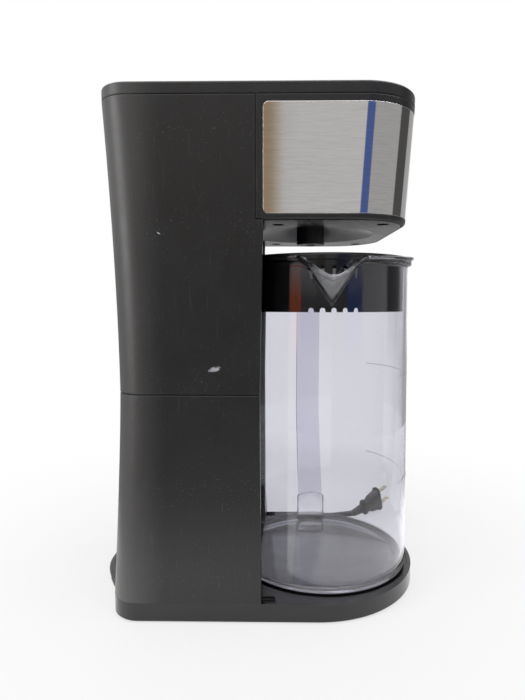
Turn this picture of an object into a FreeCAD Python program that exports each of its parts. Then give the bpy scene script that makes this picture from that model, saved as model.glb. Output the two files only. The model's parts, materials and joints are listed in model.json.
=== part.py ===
import FreeCAD, Part
import math
import os

# Cold brew coffee maker. Millimetres, +Z up, +X to the front, origin on the worktop under the middle of the base.

V = FreeCAD.Vector
X_AXIS = V(1, 0, 0)
Y_AXIS = V(0, 1, 0)
Z_AXIS = V(0, 0, 1)

# ---------------------------------------------------------------- driving dimensions

# pitcher and its seat
pitcher_foot_r = 70.0
pitcher_lip_r = 67.6
pitcher_wall = 2.6
pitcher_floor = 4.0
pitcher_foot_round = 4.0
pitcher_turn = 1.3         # degrees the pitcher stands turned on its seat
pitcher_headroom = 24.1    # from the pitcher's lip up to the head
spout_width = 39.0
spout_reach = 9.5
spout_height = 31.3
spout_dip = 11.6
spout_dip_width = 46.8
handle_width = 24.1
handle_thickness = 8.5
handle_reach = 42.0
handle_drop = 12.3         # from the pitcher's lip down to the handle
handle_foot_gap = 1.45     # from the base's rim up to the handle
handle_foot_height = 21.0
seat_gap = 1.9
seat_depth = 1.15

# pitcher lid
lid_flange_overhang = 1.4
lid_flange_height = 4.3
lid_flange_gap = 0.2
lid_skirt_depth = 36.2
lid_skirt_wall = 1.8
lid_skirt_gap = 0.6
lid_well_depth = 5.5
lid_plate = 2.0
lid_inlet_r = 17.0
lid_turn = 3.0
strainer_count = 5
strainer_pitch = 7.0       # degrees
strainer_notch = 3.0
strainer_notch_width = 3.8
strainer_slot_height = 9.0
strainer_slot_width = 2.4
pour_notch = 3.0           # height and width of the open side, across from the strainer
pour_notch_width = 84.0
grip_length = 36.0
grip_thickness = 3.0

# outer body
base_length = 227.1
body_height = 360.9
rim_z = 14.15              # top of the base tray, where the column starts
rim_width = 2.75           # base rim in front of the seat
bay_gap = 3.1              # between the seat's edge and the column's hollow
bay_side = 7.1             # from that hollow to the body's side
lower_height = 144.85      # lower housing, up to the seam at the waist
head_height = 78.1
cap_height = 8.4           # hinged lid
waist_pinch = 6.55         # how far the back draws in at the waist
top_overhang = 0.75        # how far the top's back stands out past the base
side_pinch = 2.5           # how far each side draws in at the waist
lower_bow = 1.3            # power of the outline's curve below the waist
upper_bow = 1.7            # and above it
land_base = 46.55          # from the pitcher's axis back to the column's front edge, at the base
land_waist = 47.55         # at the waist
land_top = 42.1            # and where its line would meet the lid seam
split_back = 50.1          # from that axis back to the seam between the column and the head
head_setback = 14.75       # from the base's front back to the head's, at the lid seam
head_front_taper = 0.0585  # the head's front leans back by this much for each mm down
back_corner_r = 20.0
front_corner_r = 40.0
wall = 2.6
head_edge_r = 2.5
seam_gap = 0.3
fit_gap = 0.2              # clearance between plastic parts that drop into each other
curved_gap = 0.1           # clearance between round parts in one another

# where those sizes put things
seat_r = pitcher_foot_r + seat_gap
bay_r = seat_r + bay_gap
body_width = 2 * (bay_r + bay_side)
base_back_x = -base_length / 2
base_round_r = body_width / 2
base_round_x = base_length / 2 - base_round_r
seat_x = base_length / 2 - rim_width - seat_r
waist_back_x = base_back_x + waist_pinch
top_back_x = base_back_x - top_overhang
land_base_x = seat_x - land_base
land_waist_x = seat_x - land_waist
land_top_x = seat_x - land_top
split_x = seat_x - split_back
head_front_top_x = base_length / 2 - head_setback
seam_z = rim_z + lower_height
cap_seam_z = body_height - cap_height
head_under_z = cap_seam_z - head_height
seat_z = rim_z - seat_depth
pitcher_lip_z = head_under_z - pitcher_headroom
spout_tip_z = pitcher_lip_z - spout_height
handle_top_z = pitcher_lip_z - handle_drop
handle_foot_z = rim_z + handle_foot_gap
lid_flange_r = pitcher_lip_r + lid_flange_overhang

# base
base_bevel = 1.2
feet_proud = 0.6
foot_r = 8.0
foot_pocket = 1.0
foot_inset_x = 34.0
foot_inset_y = 20.0
tray_top = 3.0
tray_wall = 2.5
plate_thickness = 2.0
corner_notch = 9.5
corner_notch_depth = 4.0

# head
nozzle_setback = 8.3       # the outlet stands behind the pitcher's axis
nozzle_r = 11.0
nozzle_drop = 7.4
nozzle_bore_r = 4.0
dish_r = 49.0
dish_flat_r = 13.0
dish_depth = 8.0
cover_inset = 3.0
cover_thickness = 2.4
cover_screw_back = 34.9    # behind the pitcher's axis
cover_screw_front = 36.8   # in front of it
cover_screw_inset = 23.4   # in from the body's side
band_bottom_frame = 4.0
band_top_frame = 4.4
band_back = 45.3           # behind the pitcher's axis
band_thickness = 0.8
band_corner_r = 3.5
deck_drop = 5.5            # from the lid seam down to the deck's underside
deck_thickness = 2.5

# lid of the machine
lid_top_thickness = 2.5
lid_edge_bevel = 1.0
lid_edge_round = 1.2
hinge_y = 45.0
hinge_lug_width = 12.0
hinge_knuckle_width = 5.0
hinge_pin_r = 1.5
hinge_slack = 0.05
rebate_depth = 1.4
rebate_lip = 0.7

# brew basket, filter and shower
basket_r = 50.0
basket_wall = 2.0
basket_flange = 4.0
basket_flange_height = 2.0
basket_seat_gap = 1.2
basket_cone_height = 8.0
spigot_r = 7.5
spigot_length = 10.0
filter_wall = 0.8
filter_gap = 1.6
filter_drip_gap = 7.0
shower_r = 40.0
shower_thickness = 1.6
shower_hole_r = 1.2

# water tank
shelf_rise = 9.0           # above the waist seam
shelf_thickness = 3.0
tank_wall = 2.0
tank_side_gap = 1.5
hose_gap = 4.5             # on each side of the hose that runs up beside the tank
tank_flange = 1.2
outlet_r = 5.0
outlet_length = 11.0

# pump
pump_y = 12.0
motor_r = 18.0
motor_length = 42.0
pump_r = 23.0
pump_height = 18.0
impeller_r = 17.0
shaft_r = 2.0
hose_r = 4.5
hose_bore_r = 3.0

# buttons and boards
panel_width = 60.0
panel_height = 34.0
panel_rise = 39.6          # its middle above the head's underside
panel_corner_r = 5.0
button_r = 6.5
button_pitch = 18.0
button_proud = 1.0
button_travel = 1.2
button_slack = 0.15
button_flange = 1.2
button_seat_gap = 0.8
lens_r = 1.5
board_thickness = 1.6
board_setback = 14.0
control_board_width = 56.0
control_board_height = 32.0
rail_width = 4.0
rail_lip = 1.5
power_board_length = 52.0
power_board_width = 30.0
power_board_back_inset = 26.55
power_board_side_inset = 14.1

# fasteners
screw_r = 1.5
screw_head_r = 2.9
screw_head_height = 2.2
pilot_gap = 0.05
boss_r = 4.0
housing_boss_height = 20.0
rib_thickness = 2.4

# mains lead and plug
cord_r = 3.0
coil_x = -60.0
coil_y = 133.0
coil_turn_r = 33.0
coil_outer_r = 39.3
coil_inner_r = 26.7
coil_height = 12.0
relief_length = 20.0
relief_drop = 1.9
relief_root_r = 5.0
relief_y = -45.0
relief_angle = 60.0        # degrees between the lead and straight back
relief_z = 5.6
plug_tip = V(120.1, 123.4, 13.2)
plug_axis = V(0.820, 0.539, 0.194)
plug_long = V(0.248, -0.028, -0.968)
blade_length = 17.0
blade_spacing = 12.7
blade_width = 6.35
blade_thickness = 1.5


# ---------------------------------------------------------------- plain solids

def box(x0, x1, y0, y1, z0, z1):
    return Part.makeBox(x1 - x0, y1 - y0, z1 - z0, V(x0, y0, z0))


def rod(r, x, y, z0, z1):
    return Part.makeCylinder(r, z1 - z0, V(x, y, z0), Z_AXIS)


def rod_x(r, x0, x1, y, z):
    return Part.makeCylinder(r, x1 - x0, V(x0, y, z), X_AXIS)


def rod_y(r, x, y0, y1, z):
    return Part.makeCylinder(r, y1 - y0, V(x, y0, z), Y_AXIS)


def tube(r_out, r_in, x, y, z0, z1):
    return rod(r_out, x, y, z0, z1).cut(rod(r_in, x, y, z0 - 1, z1 + 1))


def together(shapes):
    first = shapes[0]
    return first.multiFuse(shapes[1:]).removeSplitter() if len(shapes) > 1 else first


def prism_y(points, y0, y1):
    """A flat outline of (x, z) points, drawn out along Y."""
    corners = [V(x, y0, z) for x, z in points]
    face = Part.Face(Part.makePolygon(corners + corners[:1]))
    return face.extrude(V(0, y1 - y0, 0))


def turned(points, x, y):
    """An outline of (radius, z) points, turned about the vertical line at x, y."""
    corners = [V(x + r, y, z) for r, z in points]
    face = Part.Face(Part.makePolygon(corners + corners[:1]))
    return face.revolve(V(x, y, 0), Z_AXIS, 360)


def rounded_plate_x(x0, x1, width, z_mid, height, r):
    """A plate with round corners that faces the front."""
    plate = box(x0, x1, -width / 2, width / 2, z_mid - height / 2, z_mid + height / 2)
    corners = [e for e in plate.Edges if abs(e.tangentAt(e.FirstParameter).x) > 0.99]
    return plate.makeFillet(r, corners)


def screw(x, y, head_z, tip_z):
    """A pan head screw whose shank runs from the face at head_z to tip_z."""
    way = 1 if tip_z > head_z else -1
    low, high = sorted((head_z, tip_z))
    shank = rod(screw_r, x, y, low, high)
    head_low = head_z - screw_head_height if way > 0 else head_z
    head = rod(screw_head_r, x, y, head_low, head_low + screw_head_height)
    slot_z = head_low if way > 0 else head_low + screw_head_height
    for long_x, long_y in ((1.8, 0.35), (0.35, 1.8)):
        head = head.cut(box(x - long_x, x + long_x, y - long_y, y + long_y, slot_z - 0.9, slot_z + 0.9))
    return shank.fuse(head)


# ---------------------------------------------------------------- outlines of the body

def bow(z):
    """0 at the waist, 1 at the lid seam and at the base."""
    if z >= seam_z:
        return ((z - seam_z) / (cap_seam_z - seam_z)) ** upper_bow
    return ((seam_z - z) / (seam_z - rim_z)) ** lower_bow


def back_x(z):
    end = top_back_x if z >= seam_z else base_back_x
    return waist_back_x + (end - waist_back_x) * bow(z)


def half_width(z):
    return body_width / 2 - side_pinch * (1 - bow(z))


def land_x(z):
    end = land_top_x if z >= seam_z else land_base_x
    return land_waist_x + (end - land_waist_x) * bow(z)


def head_front_x(z):
    return head_front_top_x - head_front_taper * (cap_seam_z - z)


def plan_wire(z, x_back, x_front, half, r_back, r_front):
    """Closed plan outline: straight sides, round corners, square ones where the radius is 0."""
    edges = []
    corners = [(x_back, -half, r_back, 1, 1), (x_front, -half, r_front, -1, 1),
               (x_front, half, r_front, -1, -1), (x_back, half, r_back, 1, -1)]
    lines_start = None
    last = None
    for i, (x, y, r, sx, sy) in enumerate(corners):
        along_first = V(x, y + sy * r, z) if i in (0, 2) else V(x + sx * r, y, z)
        along_second = V(x + sx * r, y, z) if i in (0, 2) else V(x, y + sy * r, z)
        if last is not None:
            edges.append(Part.makeLine(last, along_first))
        else:
            lines_start = along_first
        if r > 0:
            cut = r * (1 - math.sqrt(0.5))
            edges.append(Part.Arc(along_first, V(x + sx * cut, y + sy * cut, z), along_second).toShape())
        last = along_second
    edges.append(Part.makeLine(last, lines_start))
    return Part.Wire(edges)


def heights(z0, z1, count):
    return [z0 + (z1 - z0) * i / (count - 1) for i in range(count)]


def column_blank(z0, z1, inset):
    """The column's back and sides, square in front, with its faces moved in by inset."""
    wires = [plan_wire(z, back_x(z) + inset, seat_x, half_width(z) - inset, back_corner_r - inset, 0)
             for z in heights(z0, z1, 5)]
    return Part.makeLoft(wires, True, False)


def column_front(inset):
    """What lies in front of the column: its lands, and the head frame's seam above them."""
    low, high = rim_z - 5, cap_seam_z + 5
    far = base_length
    points = [(land_x(low) - 2 * inset, low), (land_x(seam_z) - 2 * inset, seam_z),
              (land_x(head_under_z) - 2 * inset, head_under_z), (split_x + inset, head_under_z),
              (split_x + inset, high), (far, high), (far, low)]
    return prism_y(points, -body_width, body_width)


def column_core(z0, z1, inset):
    core = column_blank(z0, z1, inset).cut(column_front(inset))
    return core.cut(rod(bay_r + inset, seat_x, 0, rim_z - 5, head_under_z))


def head_block(z0, z1, inset, x_back):
    wires = [plan_wire(z, x_back, head_front_x(z) - inset, half_width(z) - inset, 0, front_corner_r - inset)
             for z in heights(z0, z1, 5)]
    return Part.makeLoft(wires, True, False)


def slab(wire, height):
    return Part.Face(wire).extrude(V(0, 0, height))


def cap_wire(z, inset):
    return plan_wire(z, top_back_x + inset, head_front_top_x - inset, body_width / 2 - inset,
                     back_corner_r - inset, front_corner_r - inset)


def base_wire(z, inset):
    """The base: square back with round corners, and a half round front."""
    half = body_width / 2 - inset
    x = base_back_x + inset
    r = back_corner_r - inset
    cut = r * (1 - math.sqrt(0.5))
    tip = base_round_x + half
    edges = [Part.makeLine(V(x + r, -half, z), V(base_round_x, -half, z)),
             Part.Arc(V(base_round_x, -half, z), V(tip, 0, z), V(base_round_x, half, z)).toShape(),
             Part.makeLine(V(base_round_x, half, z), V(x + r, half, z)),
             Part.Arc(V(x + r, half, z), V(x + cut, half - cut, z), V(x, half - r, z)).toShape(),
             Part.makeLine(V(x, half - r, z), V(x, r - half, z)),
             Part.Arc(V(x, r - half, z), V(x + cut, cut - half, z), V(x + r, -half, z)).toShape()]
    return Part.Wire(edges)


# ---------------------------------------------------------------- base

plate_z = feet_proud
plate_top = plate_z + plate_thickness



def both_sides(x, side_inset):
    y = body_width / 2 - side_inset
    return [(x, -y), (x, y)]


housing_boss_places = both_sides(base_back_x + 17.5, 18.0) + both_sides(land_waist_x - 18.0, 12.0)
base_screw_places = both_sides(base_back_x + 53.5, 22.0) + both_sides(base_round_x + 18.5, 20.0)
base_screw_places += [(base_length / 2 - 15.5, 0)]


def foot_places():
    back = base_back_x + foot_inset_x
    front = base_round_x + base_round_r * 0.5
    side = body_width / 2 - foot_inset_y
    return [(back, -side), (back, side), (front, -side * 0.8), (front, side * 0.8), (0, 0)]


def base_tray():
    skirt = slab(base_wire(feet_proud + base_bevel, 0), rim_z - feet_proud - base_bevel)
    bevel = Part.makeLoft([base_wire(feet_proud, base_bevel), base_wire(feet_proud + base_bevel, 0)], True, True)
    tray = skirt.fuse(bevel)
    tray = tray.cut(slab(base_wire(feet_proud - 1, tray_wall), rim_z - tray_top - feet_proud + 1))
    tray = tray.cut(rod(seat_r, seat_x, 0, seat_z, rim_z + 1))
    # the column's inside opens down into the tray for the pump's bracket
    reach = bracket_half + 3
    tray = tray.cut(box(pump_x - reach, pump_x + reach, pump_y - reach, pump_y + reach, rim_z - tray_top - 1, rim_z + 1))
    bosses = [rod(boss_r, x, y, plate_top, rim_z - tray_top) for x, y in base_screw_places + housing_boss_places]
    tray = together([tray] + bosses)
    for x, y in base_screw_places:
        tray = tray.cut(rod(screw_r + pilot_gap, x, y, plate_top - 1, plate_top + 7))
    for x, y in housing_boss_places:
        tray = tray.cut(rod(screw_r + pilot_gap, x, y, plate_top - 1, rim_z + 1))
    for side in (-1, 1):
        edge = side * (half_width(rim_z) - 1.2)
        inner = edge - side * corner_notch
        low, high = sorted((edge, inner))
        tray = tray.cut(box(land_base_x, land_base_x + corner_notch, low, high, rim_z - corner_notch_depth + 1.6,
                            rim_z + 1))
    return tray.cut(relief_socket())


def base_plate():
    plate = slab(base_wire(plate_z, tray_wall + fit_gap), plate_thickness)
    for x, y in foot_places():
        plate = plate.cut(rod(foot_r + curved_gap, x, y, plate_z - 1, plate_z + foot_pocket))
    for x, y in base_screw_places + housing_boss_places:
        plate = plate.cut(rod(screw_r + 0.3, x, y, plate_z - 1, plate_top + 1))
        plate = plate.cut(rod(screw_head_r + 0.4, x, y, plate_z - 1, plate_top - 0.6))
    return plate.cut(relief_socket())


def rubber_feet():
    feet = [rod(foot_r, x, y, 0, plate_z + foot_pocket) for x, y in foot_places()]
    return Part.makeCompound(feet)


def base_screws():
    low = plate_top - 0.6
    short = [screw(x, y, low, plate_top + 6.5) for x, y in base_screw_places]
    long = [screw(x, y, low, rim_z + 12) for x, y in housing_boss_places]
    flat = box(-150, 150, -150, 150, -5, feet_proud + 0.1)
    return Part.makeCompound([s.cut(flat) for s in short + long])


# ---------------------------------------------------------------- column

def lower_housing():
    shell = column_core(rim_z, seam_z - seam_gap / 2, 0).cut(column_core(rim_z - 1, seam_z + 1, wall))
    bosses = []
    for x, y in housing_boss_places:
        low, high = sorted((y, math.copysign(half_width(rim_z), y)))
        bosses.append(rod(boss_r, x, y, rim_z, rim_z + housing_boss_height))
        rib = box(x - rib_thickness / 2, x + rib_thickness / 2, low, high, rim_z, rim_z + housing_boss_height)
        bosses.append(rib.common(column_core(rim_z, seam_z, wall / 2)))
    shell = together([shell] + bosses)
    for x, y in housing_boss_places:
        shell = shell.cut(rod(screw_r + pilot_gap, x, y, rim_z - 1, rim_z + housing_boss_height - 4))
    return shell.cut(seam_groove(seam_z))


def seam_groove(z):
    """The fine shadow line round the column at a seam."""
    ring = column_blank(z - 0.6, z + 0.6, -1).cut(column_blank(z - 1.6, z + 1.6, 0.6))
    return ring


hinge_x = top_back_x + (body_height - cap_seam_z) / 2
hinge_z = (body_height + cap_seam_z) / 2
lug_r = (body_height - cap_seam_z) / 2 - fit_gap
knuckle_r = lug_r - 0.6


def hinge_lug(y):
    low, high = y - hinge_lug_width / 2, y + hinge_lug_width / 2
    eye = rod_y(lug_r, hinge_x, low, high, hinge_z)
    neck = box(hinge_x - lug_r, hinge_x + lug_r, low, high, cap_seam_z - 0.5, hinge_z)
    root = box(hinge_x - 2, hinge_x + lug_r, low, high, cap_seam_z - 14, cap_seam_z)
    return together([eye, neck, root])


def upper_housing():
    low, high = seam_z + seam_gap / 2, cap_seam_z
    shell = column_core(low, high, 0).cut(column_core(seam_z - 1, cap_seam_z + 1, wall))
    shelf = column_core(shelf_z, shelf_z + shelf_thickness, wall / 2)
    shell = shell.fuse(shelf).removeSplitter()
    shell = shell.cut(rod(outlet_r + 5.5, outlet_x, 0, shelf_z - 1, shelf_z + 5))
    shell = shell.cut(rod(hose_r + 2, pump_x, hose_y(), shelf_z - 1, shelf_z + 5))
    rebate = slab(plan_wire(cap_seam_z - rebate_depth, top_back_x + rebate_lip, hinge_x + lug_r + 3 + back_corner_r,
                            body_width / 2 - rebate_lip, back_corner_r - rebate_lip, 0), rebate_depth + 1)
    shell = shell.cut(rebate)
    shell = together([shell] + [hinge_lug(y) for y in (-hinge_y, hinge_y)])
    for y in (-hinge_y, hinge_y):
        bore = rod_y(hinge_pin_r + 0.02, hinge_x, y - hinge_lug_width, y + hinge_lug_width, hinge_z)
        shell = shell.cut(bore)
    return shell.cut(seam_groove(seam_z))


# ---------------------------------------------------------------- head

nozzle_x = seat_x - nozzle_setback
nozzle_z = head_under_z - nozzle_drop
band_bottom_z = head_under_z + band_bottom_frame
band_top_z = cap_seam_z - band_top_frame
band_back_x = seat_x - band_back
deck_z = cap_seam_z - deck_drop
panel_mid_z = head_under_z + panel_rise


def head_screw_places():
    return (both_sides(seat_x - cover_screw_back, cover_screw_inset)
            + both_sides(seat_x + cover_screw_front, cover_screw_inset))


def panel_window(gap):
    return rounded_plate_x(70, 120, panel_width + 2 * gap, panel_mid_z, panel_height + 2 * gap, panel_corner_r + gap)


def band_outline(grow):
    """Side view of the steel band, with round corners at its ends beside the column."""
    body = box(band_back_x - grow, 130, -100, 100, band_bottom_z - grow, band_top_z + grow)
    ends = [e for e in body.Edges
            if abs(e.tangentAt(e.FirstParameter).y) > 0.99 and e.CenterOfMass.x < 0]
    return body.makeFillet(band_corner_r, ends)


cover_boss_top = head_under_z + 9.6


def head_housing():
    x_back = split_x + seam_gap
    shell = head_block(head_under_z + head_edge_r, cap_seam_z, 0, x_back)
    steps = 5
    wires = []
    for i in range(steps):
        turn = math.pi / 2 * i / (steps - 1)
        z = head_under_z + head_edge_r * (1 - math.sin(turn))
        inset = head_edge_r * (1 - math.cos(turn))
        wires.append(plan_wire(z, x_back, head_front_x(z) - inset, half_width(z) - inset, 0, front_corner_r - inset))
    shell = shell.fuse(Part.makeLoft(wires[::-1], True, True))
    inside = head_block(head_under_z - 1, cap_seam_z + 1, wall, x_back - 2)
    pocket = head_block(band_bottom_z - 2, band_top_z + 2, -3, x_back)
    pocket = pocket.cut(head_block(band_bottom_z - 3, band_top_z + 3, band_thickness + 0.1, x_back - 2))
    shell = shell.cut(inside).cut(pocket.common(band_outline(0.15)))
    posts = []
    limit = head_block(head_under_z, cap_seam_z, wall / 2 + band_thickness, x_back)
    for x, y in head_screw_places():
        low, high = sorted((y, math.copysign(half_width(head_under_z), y)))
        rib = box(x - rib_thickness / 2, x + rib_thickness / 2, low, high, cover_boss_top, deck_z)
        posts.append(rod(boss_r, x, y, cover_boss_top, deck_z))
        posts.append(rib.common(limit))
    shell = together([shell] + posts)
    for x, y in head_screw_places():
        shell = shell.cut(rod(screw_r + pilot_gap, x, y, cover_boss_top - 1, deck_z + 1))
    return shell.cut(panel_window(0))


def steel_band():
    outer = head_block(band_bottom_z - 1, band_top_z + 1, 0, split_x)
    inner = head_block(band_bottom_z - 2, band_top_z + 2, band_thickness, split_x - 2)
    band = outer.cut(inner).common(band_outline(0))
    return band.cut(panel_window(0))


def head_bottom_cover():
    z = head_under_z
    front = head_front_x(z) - cover_inset
    half = half_width(z) - cover_inset
    plate = slab(plan_wire(z, split_x + 2, front, half, 0, front_corner_r - cover_inset), cover_thickness)
    crescent = rod(bay_r + wall, seat_x, 0, z, z + cover_thickness)
    crescent = crescent.common(box(-90, split_x + 3, -90, 90, z - 1, z + 10))
    cover = together([plate, crescent]).cut(rod(dish_r, nozzle_x, 0, z - 1, z + 9))
    roof = z + dish_depth
    top = roof + cover_thickness
    dish = turned([(dish_r + 2, z), (dish_r, z), (dish_flat_r, roof), (nozzle_r + curved_gap, roof),
                   (nozzle_r + curved_gap, top), (dish_flat_r + 4, top), (dish_r + 2, z + cover_thickness)],
                  nozzle_x, 0)
    cover = together([cover, dish])
    for x, y in head_screw_places():
        cover = cover.fuse(rod(boss_r + 2.2, x, y, z, cover_boss_top)).cut(rod(boss_r + 0.3, x, y, z - 1, z + 7))
        cover = cover.cut(rod(screw_r + 0.3, x, y, z, cover_boss_top + 1))
    return cover


def cover_screws():
    return Part.makeCompound([screw(x, y, head_under_z + 7, cover_boss_top + 12) for x, y in head_screw_places()])


seal_thickness = 1.0
nozzle_flange = 2.0
nozzle_top = head_under_z + dish_depth + cover_thickness
basket_bottom_z = nozzle_top + seal_thickness + nozzle_flange + basket_seat_gap
filter_floor_z = basket_bottom_z + basket_cone_height + filter_drip_gap


def outlet_nozzle():
    flange_z = nozzle_top + seal_thickness
    body = rod(nozzle_r, nozzle_x, 0, nozzle_z, flange_z + nozzle_flange)
    flange = rod(nozzle_r + 3, nozzle_x, 0, flange_z, flange_z + nozzle_flange)
    nozzle = body.fuse(flange)
    cup = rod(spigot_r + 0.6, nozzle_x, 0, basket_bottom_z - spigot_length - 1, nozzle_top + seal_thickness + 3)
    funnel_z = basket_bottom_z - spigot_length - 1
    funnel = Part.makeCone(nozzle_bore_r, spigot_r + 0.6, 3.5, V(nozzle_x, 0, funnel_z - 3.5), Z_AXIS)
    bore = rod(nozzle_bore_r, nozzle_x, 0, nozzle_z - 1, funnel_z)
    return nozzle.cut(together([cup, funnel, bore]))


def nozzle_seal():
    return tube(nozzle_r + 2.8, nozzle_r + curved_gap, nozzle_x, 0, nozzle_top, nozzle_top + seal_thickness)


def top_deck():
    z = deck_z
    inset = wall + 0.5
    x0 = back_x(z) + inset
    x1 = head_front_x(z) - inset
    half = half_width(z) - inset
    deck = slab(plan_wire(z, x0, x1, half, back_corner_r - inset, front_corner_r - inset), deck_thickness)
    deck = deck.cut(rod(basket_r + 0.6, nozzle_x, 0, z - 1, z + 9))
    mouth = slab(plan_wire(z - 1, x0 + 8, -30, tank_side_y - 6, 10, 10), deck_thickness + 2)
    deck = deck.cut(mouth)
    for y in (-hinge_y, hinge_y):
        deck = deck.cut(box(x0 - 5, hinge_x + lug_r + 0.4, y - hinge_lug_width / 2 - 0.4,
                            y + hinge_lug_width / 2 + 0.4, z - 1, z + 9))
    for x, y in head_screw_places():
        deck = deck.cut(rod(screw_r + 0.3, x, y, z - 1, z + 9))
    port = tube(hose_r + 1.5, hose_bore_r, pump_x, hose_y(), z - 6, z + deck_thickness)
    return together([deck.cut(rod(hose_bore_r, pump_x, hose_y(), z - 1, z + 9)), port])


def deck_screws():
    return Part.makeCompound([screw(x, y, deck_z + deck_thickness, deck_z - 10) for x, y in head_screw_places()])


# ---------------------------------------------------------------- hinged lid

lid_under_z = body_height - lid_top_thickness


def top_lid():
    low = cap_seam_z
    height = body_height - cap_seam_z
    middle = slab(cap_wire(low + lid_edge_bevel, 0), height - lid_edge_bevel - lid_edge_round)
    foot = Part.makeLoft([cap_wire(low, lid_edge_bevel), cap_wire(low + lid_edge_bevel, 0)], True, True)
    crown = []
    for turn in (0, 30, 60, 90):
        a = math.radians(turn)
        crown.append(cap_wire(body_height - lid_edge_round * (1 - math.sin(a)), lid_edge_round * (1 - math.cos(a))))
    crown = Part.makeLoft(crown, True, True)
    lid = together([middle, foot, crown])
    lid = lid.cut(slab(cap_wire(low - 1, wall), lid_under_z - low + 1))
    knuckles = []
    for y in (-hinge_y, hinge_y):
        inner = hinge_lug_width / 2 + 0.3
        for way in (-1, 1):
            a, b = sorted((y + way * inner, y + way * (inner + hinge_knuckle_width)))
            knuckles.append(rod_y(knuckle_r, hinge_x, a, b, hinge_z))
            knuckles.append(box(hinge_x - knuckle_r, hinge_x + knuckle_r, a, b, hinge_z, lid_under_z + 0.5))
            knuckles.append(box(hinge_x - knuckle_r, hinge_x, a, b, hinge_z - 1.5, hinge_z + 1.5))
    lid = together([lid] + knuckles)
    for y in (-hinge_y, hinge_y):
        half = hinge_lug_width / 2 + 0.3
        lid = lid.cut(box(top_back_x - 1, hinge_x + lug_r + 0.4, y - half, y + half, low - 1, body_height + 1))
        reach = half + hinge_knuckle_width
        lid = lid.cut(rod_y(hinge_pin_r + hinge_slack, hinge_x, y - reach - 0.1, y + reach + 0.1, hinge_z))
    return lid


def hinge_pins():
    reach = hinge_lug_width / 2 + 0.3 + hinge_knuckle_width
    pins = [rod_y(hinge_pin_r, hinge_x, y - reach, y + reach, hinge_z) for y in (-hinge_y, hinge_y)]
    return Part.makeCompound(pins)


def shower_plate():
    z0 = cap_seam_z + 0.7
    disc = rod(shower_r, nozzle_x, 0, z0, z0 + shower_thickness)
    holes = []
    for ring, count in ((10, 6), (20, 12), (30, 18)):
        for i in range(count):
            a = 2 * math.pi * i / count
            holes.append(rod(shower_hole_r, nozzle_x + ring * math.cos(a), ring * math.sin(a), z0 - 1, z0 + 3))
    disc = disc.cut(Part.makeCompound(holes))
    rim = tube(shower_r, shower_r - 1.6, nozzle_x, 0, z0, lid_under_z)
    rim = rim.cut(box(nozzle_x - shower_r - 1, nozzle_x - shower_r + 5, -4, 4, z0 + shower_thickness, lid_under_z + 1))
    return disc.fuse(rim)


# ---------------------------------------------------------------- brewing

basket_rim_z = deck_z + deck_thickness


def brew_basket():
    top = basket_rim_z + basket_flange_height
    cone_top = basket_bottom_z + basket_cone_height
    inner = basket_r - basket_wall
    tip = basket_bottom_z - spigot_length
    points = [(spigot_r - 2, tip), (spigot_r, tip), (spigot_r, basket_bottom_z), (basket_r - 3, cone_top),
              (basket_r, cone_top + 3), (basket_r, basket_rim_z), (basket_r + basket_flange, basket_rim_z),
              (basket_r + basket_flange, top), (inner, top), (inner, cone_top + 4), (inner - 2, cone_top + 2),
              (spigot_r - 2, basket_bottom_z + 2)]
    return turned(points, nozzle_x, 0)


def mesh_filter():
    top = basket_rim_z + basket_flange_height
    r = basket_r - basket_wall - filter_gap
    points = [(0, filter_floor_z), (r, filter_floor_z), (r, top), (basket_r, top), (basket_r, top + filter_wall),
              (r - filter_wall, top + filter_wall), (r - filter_wall, filter_floor_z + filter_wall),
              (0, filter_floor_z + filter_wall)]
    return turned(points, nozzle_x, 0)


# ---------------------------------------------------------------- water

shelf_z = seam_z + shelf_rise
tank_floor_z = shelf_z + shelf_thickness
tank_top_z = deck_z
tank_outlet_z = tank_floor_z - outlet_length
tank_side_y = body_width / 2 - side_pinch - wall - 2 * (hose_r + hose_gap)
pump_x = (base_back_x + seat_x - bay_r) / 2
outlet_x = pump_x


def hose_y():
    return tank_side_y + hose_r + hose_gap


def tank_blank(z0, z1, inset):
    gap = wall + tank_side_gap + inset
    x0 = waist_back_x + gap
    x1 = land_waist_x - 2 * wall - tank_side_gap - inset
    y0 = -(half_width(seam_z) - gap)
    y1 = tank_side_y - inset
    r = back_corner_r - gap
    blank = slab(plan_wire(z0, x0, x1, (y1 - y0) / 2, r, 6), z1 - z0)
    blank.translate(V(0, (y0 + y1) / 2, 0))
    return blank.cut(rod(bay_r + gap, seat_x, 0, z0 - 1, z1 + 1))


def water_tank():
    tank = tank_blank(tank_floor_z, tank_top_z, 0).cut(tank_blank(tank_floor_z + tank_wall, tank_top_z + 1, tank_wall))
    lip = tank_blank(tank_top_z - 2, tank_top_z, -tank_flange).cut(tank_blank(tank_top_z - 3, tank_top_z + 1, 1))
    tank = together([tank, lip, rod(outlet_r, outlet_x, 0, tank_outlet_z, tank_floor_z + 1)])
    return tank.cut(rod(outlet_r - 1.5, outlet_x, 0, tank_outlet_z - 1, tank_floor_z + 5))


def tank_grommet():
    low = shelf_z - 1.5
    collar = tube(outlet_r + 5.3, outlet_r + curved_gap, outlet_x, 0, shelf_z, tank_floor_z)
    lip = tube(outlet_r + 7, outlet_r + curved_gap, outlet_x, 0, low, shelf_z)
    return collar.fuse(lip)


def tank_strainer():
    low = tank_floor_z + tank_wall
    cup = rod(outlet_r + 4, outlet_x, 0, low, low + 5).cut(rod(outlet_r + 3, outlet_x, 0, low - 1, low + 4))
    for i in range(8):
        slot = box(0, outlet_r + 6, -0.6, 0.6, low - 1, low + 3.5)
        slot.rotate(V(0, 0, 0), Z_AXIS, 45 * i)
        slot.translate(V(outlet_x, 0, 0))
        cup = cup.cut(slot)
    return cup


# ---------------------------------------------------------------- pump

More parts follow.
